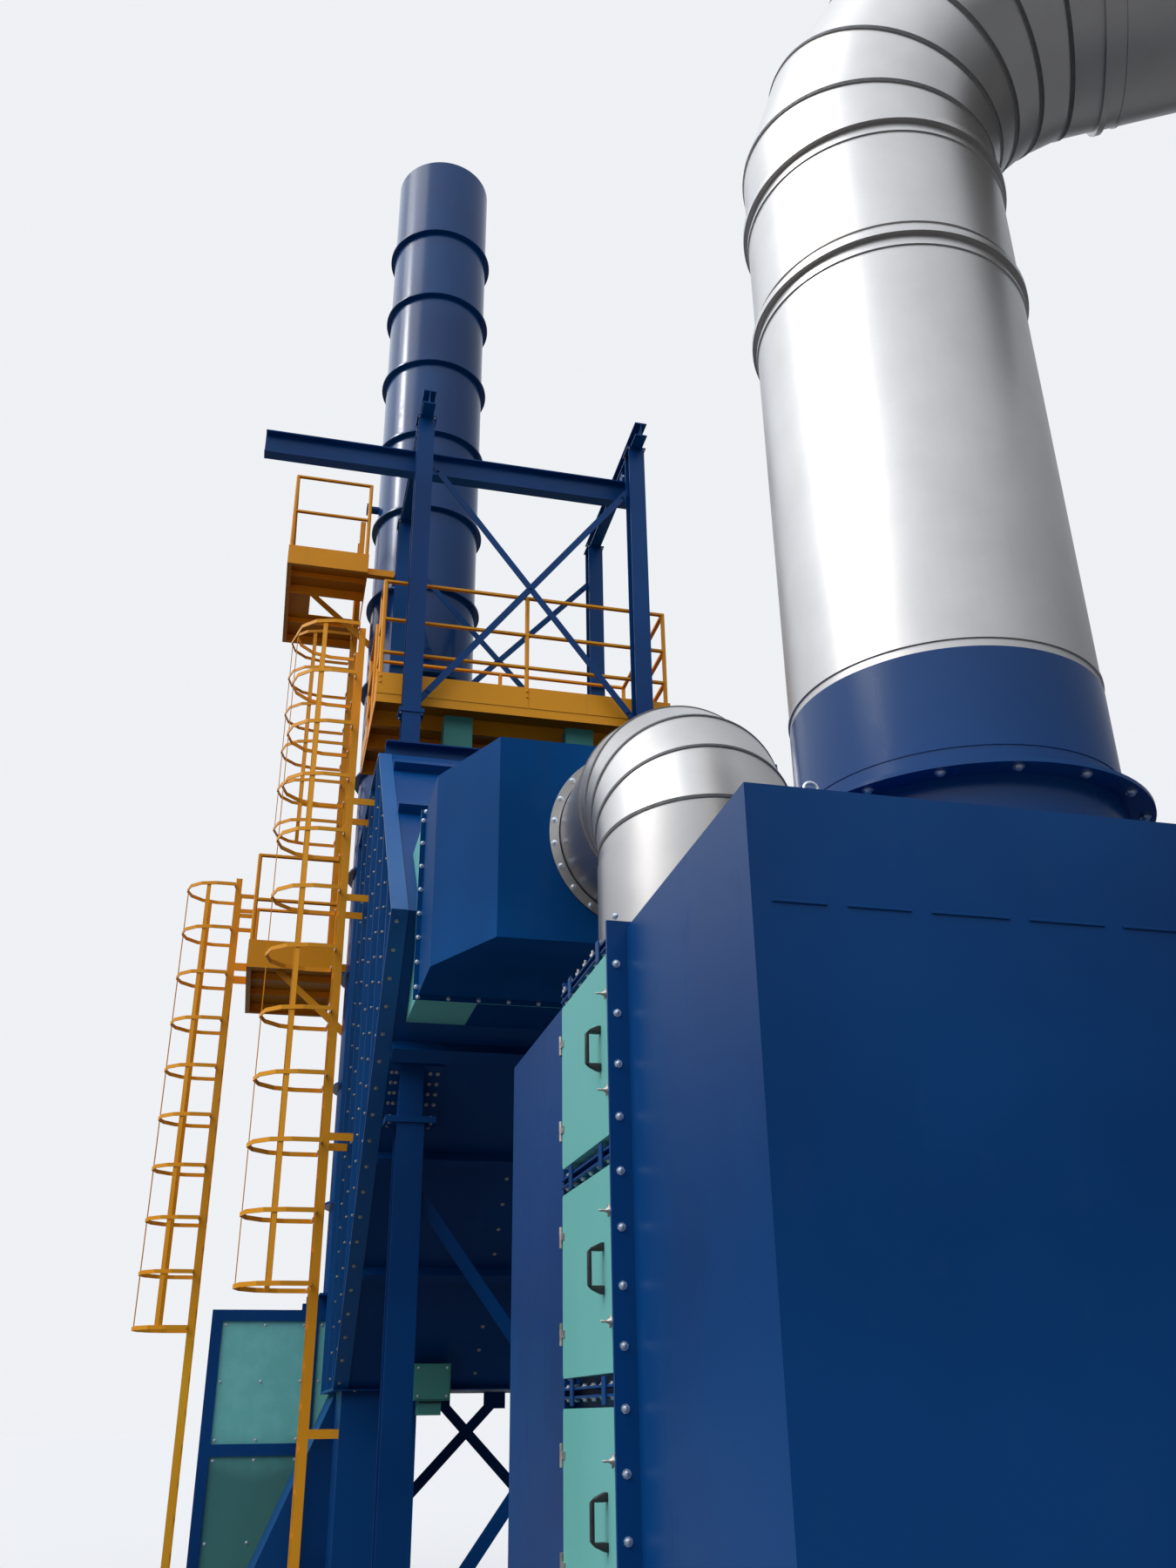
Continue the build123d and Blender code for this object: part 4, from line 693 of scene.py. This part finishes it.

# Bolts of the tower's side ribs: small dull steel screws, darker than the zinc bolts as painted shade, in pairs
# on the two faces of each upright rib.
# They follow the rib from the lower slope or the floor plate up to the upper slope or the roof.

ELBOW_Y, ELBOW_Z, ROOF_Y, ROOF_Z, FLOOR_Y, FLOOR_Z = -0.83, 4.53, 1.29, 6.69, 1.84, 1.79
RIB_YS, RIB_OUT, RIB_END = (-0.43, 0.17, 0.77, 1.37, 2.02, 2.68), 0.036, 0.09
RIB_PITCH, RIB_BOLT_OFF = 0.19, 0.016
UP_SLOPE, DOWN_SLOPE = (ROOF_Z - ELBOW_Z) / (ROOF_Y - ELBOW_Y), (ELBOW_Z - FLOOR_Z) / (FLOOR_Y - ELBOW_Y)
UNDER_SLOPE = (0, -DOWN_SLOPE, -1)


def lower_z(y):
    return ELBOW_Z - (y - ELBOW_Y) * DOWN_SLOPE


spots = []
for side in (-1, 1):
    x = MID_X + side * (TOWER_HALF + RIB_OUT)
    for y in RIB_YS:
        low = lower_z(y) if y < FLOOR_Y else FLOOR_Z
        high = ELBOW_Z + (y - ELBOW_Y) * UP_SLOPE if y < ROOF_Y else ROOF_Z
        for p in row((x, y, low + RIB_END), (x, y, high - RIB_END), RIB_PITCH):
            spots += [((x, y - RIB_BOLT_OFF, p.z), TO_FRONT), ((x, y + RIB_BOLT_OFF, p.z), TO_REAR)]
bolt_up("tower_rib_bolts", spots, 0.6, satin.material)

# Bolts of the tower's underside: dull steel screws, darker than the zinc bolts as painted shade, along the edge
# bars of the lower slope, along two stiffeners under it, and across the front edge of the floor plate.

BAR_MID, BAR_T, BAR_TOP_IN, BAR_FOOT_IN, BAR_PITCH = 0.022, 0.0112, 0.06, 0.04, 0.2
STIFF_X, STIFF_Y0, STIFF_Y1, STIFF_PITCH = 0.76, 0.56, 1.74, 0.205
FLOOR_T, FLOOR_IN, FLOOR_END, FLOOR_PITCH = 0.008, 0.035, 0.09, 0.246
spots = []
for x in (MID_X - TOWER_HALF - BAR_MID, MID_X + TOWER_HALF + BAR_MID):
    spots += bolt_row((x, ELBOW_Y + BAR_TOP_IN - BAR_T, ELBOW_Z - BAR_TOP_IN * DOWN_SLOPE),
                      (x, FLOOR_Y - BAR_FOOT_IN - BAR_T, FLOOR_Z + BAR_FOOT_IN * DOWN_SLOPE),
                      BAR_PITCH, UNDER_SLOPE)
for x in (STIFF_X, 2 * MID_X - STIFF_X):
    spots += bolt_row((x, STIFF_Y0, lower_z(STIFF_Y0)), (x, STIFF_Y1, lower_z(STIFF_Y1)),
                      STIFF_PITCH, UNDER_SLOPE)
y, z, half = FLOOR_Y - FLOOR_IN, FLOOR_Z - FLOOR_T, TOWER_HALF - FLOOR_END
spots += bolt_row((MID_X - half, y, z), (MID_X + half, y, z), FLOOR_PITCH, TO_FLOOR)
bolt_up("tower_plate_bolts", spots, 0.75, satin.material)

# Column fixings: each front column is bolted by a head plate to the lower slope, and spliced below it.
# Every column stands on a base plate that four grouted studs hold down.

FRONT_COLUMNS, REAR_COLUMNS = ((0.0, 0.0), (2.12, 0.0)), ((2.12, 3.14), (2.12, 1.93))
HEAD_T, HEAD_XS, HEAD_YS = 0.020, (-0.13, -0.098, 0.125, 0.175), (-0.02, 0.035, 0.09, 0.145)
COLUMN_SPLICE_LOW, COLUMN_SPLICE_TOP, SPLICE_X, SPLICE_Y, COLUMN_ANCHOR_OUT = 3.34, 3.38, 0.135, 0.065, 0.118
spots = []
for column, way in zip(FRONT_COLUMNS, (1, -1)):
    spots += [((column[0] + way * across, y, lower_z(y) - HEAD_T), UNDER_SLOPE)
              for across in HEAD_XS for y in HEAD_YS]
    spots += [((column[0] + across, y, z), out)
              for across in (-SPLICE_X, SPLICE_X) for y in (-SPLICE_Y, SPLICE_Y)
              for z, out in ((COLUMN_SPLICE_LOW, TO_FLOOR), (COLUMN_SPLICE_TOP, TO_SKY))]
# the head and splice bolts take the darker satin steel as painted shade
bolt_up("column_head_bolts", spots, 0.75, satin.material)
anchors("column_anchor_studs", FRONT_COLUMNS + REAR_COLUMNS, COLUMN_ANCHOR_OUT, 1.6)
bpy.data.objects.remove(stud_pattern)

# Junction box: a small sheet steel box in a dark mint enamel that is painted shade, under the tower's lower
# slope.
# Its flat cover is screwed on at the corners, and a black gland plate closes it from below.

JX0, JX1, JY0, JZ0, JZ1, COVER_T, COVER_IN, SCREW_IN = 0.282, 0.544, 1.50, 1.71, 1.95, 0.006, 0.008, 0.028
GLAND_X0, GLAND_X1, GLAND_Y, GLAND_Z, GLAND_H = JX0 + 0.045, JX1 - 0.065, JY0 + 0.024, JZ0 - 0.018, 0.008
# a darker copy of the mint, as painted shade for the pads and the box
dark_mint_shade = enamel("sea_green_enamel", (0.055, 0.23, 0.19), (0.075, 0.27, 0.24), (0.13, 0.24, 0.21), 0.5, 0.3)
coat(dark_mint_shade, "junction_box")
plate("junction_cover", (JX0 + COVER_IN, JY0 - COVER_T, JZ0 + COVER_IN), (JX1 - COVER_IN, JY0, JZ1 - COVER_IN),
      dark_mint_shade)
bolt_up("junction_screws", [((x, JY0 - COVER_T, z), TO_FRONT) for x in (JX0 + SCREW_IN, JX1 - SCREW_IN)
                            for z in (JZ0 + SCREW_IN, JZ1 - SCREW_IN)], size=0.5)
plate("junction_gland_plate", (GLAND_X0, GLAND_Y, GLAND_Z), (GLAND_X1, GLAND_Y + COVER_T, GLAND_Z + GLAND_H),
      black.material)

# Gantry: four rolled steel columns with cap beams and a monorail beam, painted blue.
# Its columns are spliced above the tower's roof, whose beams are bolted down, and its crossed braces
# have one painted screw at each end and one where they cross.

GANTRY_XS, GAN_YS, SPLICE_Z, GAN_CAP, MONO_Y, MONO_TOP = (0.0, 2.12), (1.42, 3.14), 7.17, 10.44, 1.76, 10.29
SPLICE_T, SPLICE_OUT_X, SPLICE_OUT_Y, CAP_T, CAP_OUT_X, CAP_OUT_Y = 0.02, 0.092, 0.055, 0.015, 0.075, 0.078
ROOF_BEAM_T, ROOF_BOLT_OFF, ROOF_BOLT_IN, ROOF_BOLT_PITCH = 0.020, 0.055, 0.1, 0.31
HANGER_X, HANGER_Y = 0.035, 0.046
BRACE_TOP, BRACE_IN, BRACE_FACE, FRONT_BRACE_LOW, REAR_BRACE_LOW = 0.4, 0.14, 0.006, 7.23, 7.65
coat(blue, "gantry_columns", "gantry_beams", "monorail_beam")
spots = []
for y in GAN_YS:
    for x in GANTRY_XS:
        spots += [((x + across, y + along, SPLICE_Z + way * SPLICE_T), (0, 0, way))
                  for across in (-SPLICE_OUT_X, SPLICE_OUT_X) for along in (-SPLICE_OUT_Y, SPLICE_OUT_Y)
                  for way in (-1, 1)]
        spots += [((x + across, y + along, GAN_CAP - CAP_T), TO_FLOOR)
                  for across in (-CAP_OUT_X, CAP_OUT_X) for along in (-CAP_OUT_Y, CAP_OUT_Y)]
    z, half = ROOF_Z + ROOF_BEAM_T, TOWER_HALF - ROOF_BOLT_IN
    spots += [((p.x, y + way * ROOF_BOLT_OFF, z), TO_SKY)
              for p in row((MID_X - half, y, z), (MID_X + half, y, z), ROOF_BOLT_PITCH) for way in (-1, 1)]
spots += [((x + across, MONO_Y + way * HANGER_Y, (MONO_TOP + GAN_CAP) / 2), (0, way, 0))
          for x in GANTRY_XS for across in (-HANGER_X, HANGER_X) for way in (-1, 1)]
bolt_up("gantry_bolts", spots, size=0.8)
high = GAN_CAP - BRACE_TOP
braces = ((GAN_YS[0] - BRACE_FACE, FRONT_BRACE_LOW), (GAN_YS[1] - BRACE_FACE, REAR_BRACE_LOW))
spots = [((MID_X, y, (low + high) / 2), TO_FRONT) for y, low in braces]
for y, low in braces:
    lift = BRACE_IN * (high - low) / (GANTRY_XS[1] - GANTRY_XS[0])
    spots += [((x + way * BRACE_IN, y, z), TO_FRONT) for x, way in zip(GANTRY_XS, (1, -1))
              for z in (low + lift, high - lift)]
bolt_up("gantry_brace_bolts", spots, 1.0, blue)

# Top platform: a welded deck with toe plates and a tube rail round it, in yellow-orange enamel.
# Thin facings lap over the deck's edge channels, the rail posts are screwed through them,
# and pads carry the deck on the roof, in a dark mint that is painted shade.

PX0, PX1, PLAT_Y0, PLAT_Y1, DECK_Z, TOE_H, LAP_LOW = -0.305, 2.425, 1.54, 3.0597, 7.49, 0.14, 7.415
JOINT_X, JOINT_GAP, FACING_T, SIDE_FACING_IN = 1.075, 0.004, 0.005, 0.9
POST_IN, POST_YS, POST_BOLTS = 0.03, (PLAT_Y0 + 0.05, 2.3, PLAT_Y1 - 0.05), (0.04, 0.10)
# the platform enamel darkens its downward faces as painted shade
amber = enamel("amber_enamel", (0.86, 0.325, 0.013), (0.94, 0.385, 0.020), (0.56, 0.28, 0.07),
               gloss=0.4, dusty=0.22, underside_shade=0.75)
coat(amber, "platform_deck", "platform_railing", "sampling_platform", "mid_platform", "near_ladder",
     "lower_stack_ladder", "upper_stack_ladder")
coat(dark_mint_shade, "platform_pads")
toe = DECK_Z + TOE_H
facings = [plate("facing", (a, PLAT_Y0 - FACING_T, LAP_LOW), (b, PLAT_Y0, toe), amber)
           for a, b in ((PX0, JOINT_X - JOINT_GAP), (JOINT_X + JOINT_GAP, PX1))]
facings.append(plate("facing", (PX0 - FACING_T, PLAT_Y0 + SIDE_FACING_IN, LAP_LOW), (PX0, PLAT_Y1, toe), amber))
facings.append(plate("facing", (PX1, PLAT_Y0, LAP_LOW), (PX1 + FACING_T, PLAT_Y1, toe), amber))
weld("platform_facings", facings)
spots = [((x, PLAT_Y0 - FACING_T, DECK_Z + up), TO_FRONT) for x in (PX0 + POST_IN, MID_X, PX1 - POST_IN)
         for up in POST_BOLTS]
spots += [((PX1 + FACING_T, y, DECK_Z + up), TO_RIGHT) for y in POST_YS for up in POST_BOLTS]
bolt_up("railing_post_bolts", spots, 0.8, amber)

# Ladder cages: flat steel hoops in the platform's enamel, each bolted to both stiles of its ladder.
# Short flat bars tie the outer ladder to the landing's rail.

LADDERS = ((-0.443, 2.115, 2.49, 0.523, 12), (-1.39, 4.59, 2.33, 0.467, 10), (-0.41, 4.59, 7.30, 0.467, 6))
STILE_FACE, HOOP_SPREAD, HOOP_MID = 0.038, 0.246, 0.0175
TIE_X0, TIE_X1, TIE_HALF_T, TIE_HALF_H = -1.36, -1.205, 0.005, 0.022
TIE_YS, TIE_ZS = (4.365, 4.815), (6.24, 6.45)
bolt_up("cage_bolts", [((x - STILE_FACE, y + way * HOOP_SPREAD, low + pitch * step + HOOP_MID), TO_LEFT)
                       for x, y, low, pitch, count in LADDERS for step in range(count) for way in (-1, 1)],
        size=0.7)
weld("ladder_ties", [plate("tie", (TIE_X0, y - TIE_HALF_T, z - TIE_HALF_H),
                           (TIE_X1, y + TIE_HALF_T, z + TIE_HALF_H), amber) for y in TIE_YS for z in TIE_ZS])

# Landings on the stack: welded steel skirts and plate in the same enamel.
# A flat lip is turned in along the foot of each skirt, and two bearers lie under the plate.

LAND_X0, LAND_X1, SKIRT, SKIRT_T, LIP_IN = -1.23, -0.35, 0.12, 0.008, 0.048
FLAT_T, BEARER_T, BEARER_H = 0.006, 0.012, 0.075
for name, y0, y1, z, bearers in (("sampling", 3.64, 5.34, 10.22, (3.95, 4.93)),
                                 ("middle", 4.14, 5.85, 5.758, (4.70, 5.25))):
    foot, left, right = z - SKIRT, LAND_X0 + SKIRT_T, LAND_X1 - SKIRT_T
    corners = (((left, y0 + SKIRT_T), (right, y0 + LIP_IN)), ((left, y1 - LIP_IN), (right, y1 - SKIRT_T)),
               ((left, y0 + LIP_IN), (LAND_X0 + LIP_IN, y1 - LIP_IN)))
    parts = [plate("lip", (*low, foot), (*high, foot + FLAT_T), amber) for low, high in corners]
    parts += [plate("bearer", (left, y, z - BEARER_H), (right, y + BEARER_T, z - FLAT_T), amber)
              for y in bearers]
    weld(name + "_landing_stiffeners", parts)

# Stack: a rolled steel plate tube in two lengths, with flat bar stiffening rings welded round it.
# It is painted in the same blue as the collar, with a higher gloss than the housing.

STACK, STACK_R, STACK_WALL, STACK_TOP, STACK_BASE, STACK_SIDES = (0.341, 4.24), 0.595, 0.006, 16.8, 2.59, 72
RING_FIRST, RING_PITCH, RING_OUT, RING_T, UPPER_RINGS, RINGS = 1.3, 1.1, 0.055, 0.024, 6, 13
split = STACK_TOP - RING_FIRST - UPPER_RINGS * RING_PITCH + RING_T / 2
levels = sorted(STACK_TOP - RING_FIRST - RING_PITCH * step for step in range(RINGS))
for name, low, high in (("stack_lower", STACK_BASE, split), ("stack_upper", split, STACK_TOP)):
    rings = [(z - RING_T / 2, z + RING_T / 2, RING_OUT) for z in levels if low < z < high]
    draw_round(STACK, beaded(STACK_R, low, high, rings, STACK_WALL), STACK_SIDES)
    stand_in(name + "_plate", glossy_blue, name)

# Pipe stubs on the stack: short steel pipes with a blank flange, welded in and painted blue.
# The larger is the sampling port over the upper landing, and the smaller faces the front.

STUB_IN, STUB_FLANGE_T, STUB_FLANGE_OUT, STUB_RIM, STUB_RECESS = 0.01, 0.016, 1.6, 0.7, 0.004
for name, place, out, radius, length in (
        ("sampling_stub", (STACK[0] - STACK_R + STUB_IN, STACK[1], 11.4), TO_LEFT, 0.045, 0.13),
        ("front_stub", (STACK[0], STACK[1] - STACK_R + STUB_IN, 9.13), TO_FRONT, 0.035, 0.07)):
    disc(20, radius, length)
    draw_out((0, 0, 0), STUB_FLANGE_OUT)
    draw_out((0, 0, STUB_FLANGE_T))
    bpy.ops.mesh.inset(thickness=radius * STUB_RIM)
    draw_out((0, 0, -STUB_RECESS))
    pattern = smooth(35)
    set_out(pattern, name, [(place, out)], blue)
    bpy.data.objects.remove(pattern)

# Fan enclosure: a blue angle frame with flat mint panels, under the stack.
# The panels are screwed on at their corners and middles, and darken low down as painted shade.

FAN_X0, FAN_X1, FAN_Y0, FAN_Y1, FAN_TOP, FAN_POST, FAN_RAIL = -1.20, 0.50, 3.64, 5.44, 2.45, 0.09, 1.42
PANEL_BACK, PANEL_EDGE = 0.02, 0.03
SIDE_YS = (FAN_Y0 + FAN_POST + PANEL_EDGE, 4.1, 4.54, 4.98, FAN_Y1 - FAN_POST - PANEL_EDGE)
low_shaded = Finish("splashed_mint", 0.5)
low_shaded.shader.inputs["Specular IOR Level"].default_value = 0.2
broad_blotch = low_shaded.noise(1.1, 4, rough=0.6)
mottle = low_shaded.noise(7.0, 5, rough=0.65)
level = low_shaded.node("ShaderNodeSeparateXYZ", {0: low_shaded.place}, out="Z")
# painted shade: the panels darken towards the bottom to a dark mint, with a ragged edge
low_shade_share = low_shaded.between(level + (broad_blotch - 0.5) * 0.5, 1.15, 1.55, 0.85, 0.0)
paint = low_shaded.blend(low_shaded.between(mottle, 0.35, 0.7), (0.20, 0.63, 0.56), (0.24, 0.69, 0.64))
low_shaded.feed("Base Color", low_shaded.blend(low_shade_share, paint, (0.045, 0.15, 0.14)))
low_shaded.feed("Roughness", 0.42 + low_shade_share * 0.3 + mottle * 0.1)
low_shaded.orange_peel(broad_blotch)
coat(blue, "fan_enclosure_frame")
coat(low_shaded.material, "fan_enclosure_panels")
spots = []
middle = (FAN_X0 + FAN_X1) / 2
bays = ((FAN_X0 + FAN_POST, middle - FAN_POST / 2), (middle + FAN_POST / 2, FAN_X1 - FAN_POST))
for low, high in ((FAN_POST, FAN_RAIL - FAN_POST), (FAN_RAIL, FAN_TOP - FAN_POST)):
    heights = (low + PANEL_EDGE, (low + high) / 2, high - PANEL_EDGE)
    spots += [((x, y, z), out) for a, b in bays for x in (a + PANEL_EDGE, (a + b) / 2, b - PANEL_EDGE)
              for z in heights for y, out in ((FAN_Y0 + PANEL_BACK, TO_FRONT), (FAN_Y1 - PANEL_BACK, TO_REAR))]
    spots += [((x, y, z), out) for y in SIDE_YS for z in heights
              for x, out in ((FAN_X0 + PANEL_BACK, TO_LEFT), (FAN_X1 - PANEL_BACK, TO_RIGHT))]
bolt_up("fan_panel_screws", spots, size=0.7)
bpy.data.objects.remove(bolt_pattern)

# Stage: a plain pale floor just under the base plates, wide enough to pass for the ground.
# It looks paler to the camera than it is to the light, so that it throws little up under the plant.

GROUND_WIDE, GROUND_Z = 400, -0.002
clear()
bpy.ops.mesh.primitive_plane_add(size=GROUND_WIDE, location=(0, 0, GROUND_Z))
floor = bpy.context.object
floor.name = "floor"
ground = Finish("pale_floor", 0.9)
seen = ground.node("ShaderNodeLightPath", out="Is Camera Ray")
ground.feed("Base Color", ground.blend(seen, (0.16, 0.16, 0.16), (0.72, 0.70, 0.685)))
floor.data.materials.append(ground.material)

# Sky: an even pale sheet to the camera, so that the plant stands alone.
# Its light is dark near the horizon and strongest on the left.

SKY_LEFT, SKY_DARK, SKY_RIGHT_LEVEL, SKY_LEFT_LEVEL = (-0.98, -0.17, 0.0), 0.05, 0.30, 2.2
SKY_DARK_UP_TO, SKY_FULL_FROM = 0.12, 0.6
SKY_TINT, SKY_SEEN = (0.86, 0.92, 1.0, 1), (0.86, 0.88, 0.91, 1)
world = bpy.context.scene.world or bpy.data.worlds.new("sky")
bpy.context.scene.world = world
world.use_nodes = True
sky = world.node_tree
sky.nodes.clear()


def sky_node(kind, sockets=None, out=0, **settings):
    made = sky.nodes.new(kind)
    for key, value in settings.items():
        setattr(made, key, value)
    for key, value in (sockets or {}).items():
        if isinstance(value, bpy.types.NodeSocket):
            sky.links.new(value, made.inputs[key])
        else:
            made.inputs[key].default_value = value
    return made.outputs[out] if made.outputs else made


heading = sky_node("ShaderNodeTexCoord", out="Generated")
height = sky_node("ShaderNodeSeparateXYZ", {0: heading}, out="Z")
upper = sky_node("ShaderNodeMapRange", {"Value": height, "From Min": SKY_DARK_UP_TO,
                                        "From Max": SKY_FULL_FROM}, interpolation_type="SMOOTHSTEP")
facing = sky_node("ShaderNodeVectorMath", {0: heading, 1: SKY_LEFT}, out="Value", operation="DOT_PRODUCT")
side_level = sky_node("ShaderNodeMapRange", {"Value": facing, "From Min": -1.0, "From Max": 1.0,
                                             "To Min": SKY_RIGHT_LEVEL, "To Max": SKY_LEFT_LEVEL})
level = sky_node("ShaderNodeMath", {0: upper, 1: side_level, 2: SKY_DARK}, operation="MULTIPLY_ADD")
light = sky_node("ShaderNodeBackground", {"Color": SKY_TINT, "Strength": level})
pale = sky_node("ShaderNodeBackground", {"Color": SKY_SEEN})
camera_ray = sky_node("ShaderNodeLightPath", out="Is Camera Ray")
both = sky_node("ShaderNodeMixShader", {0: camera_ray, 1: light, 2: pale})
sky_node("ShaderNodeOutputWorld", {"Surface": both})

# Lamps: a broad soft one high on the left, and a smaller one near it.
# The smaller one lights nothing but the gloss on paint and bright steel.


def lamp(name, energy, width, way):
    made = bpy.data.objects.new(name, bpy.data.lights.new(name, "SUN"))
    made.data.energy, made.data.angle = energy, math.radians(width)
    made.rotation_euler = Vector(way).to_track_quat("-Z", "Y").to_euler()
    bpy.context.collection.objects.link(made)
    return made


lamp("sun", 1.0, 40, (0.66, 0.12, -0.74)).data.color = (1.0, 0.98, 0.95)
lamp("glint", 0.8, 8, (0.76, 0.06, -0.64)).visible_diffuse = False

# Camera: at a standing eye height, to the left in front of the housing, looking up along the plant.
# Its picture is as high as its sensor, which fixes the focal length.

EYE, TILT, PAN, ROLL = (-0.95, -8.86, 1.6), math.radians(25.5), math.radians(13.9), math.radians(-0.7)
FOCAL_PIXELS, PICTURE_PIXELS, SENSOR = 1520, 1800, 36
camera = bpy.data.objects.new("camera", bpy.data.cameras.new("camera"))
camera.data.sensor_fit = "VERTICAL"
camera.data.sensor_height = SENSOR
camera.data.lens = FOCAL_PIXELS / PICTURE_PIXELS * SENSOR
camera.data.clip_end = 500
ahead = Vector((math.cos(TILT) * math.sin(PAN), math.cos(TILT) * math.cos(PAN), math.sin(TILT)))
right = Vector((math.cos(PAN), -math.sin(PAN), 0))
over = right.cross(ahead)
side = math.cos(ROLL) * right + math.sin(ROLL) * over
high = -math.sin(ROLL) * right + math.cos(ROLL) * over
camera.matrix_world = Matrix.Translation(EYE) @ Matrix((side, high, -ahead)).transposed().to_4x4()
bpy.context.collection.objects.link(camera)
bpy.context.scene.camera = camera
bpy.context.scene.view_settings.view_transform = "Standard"

clear()
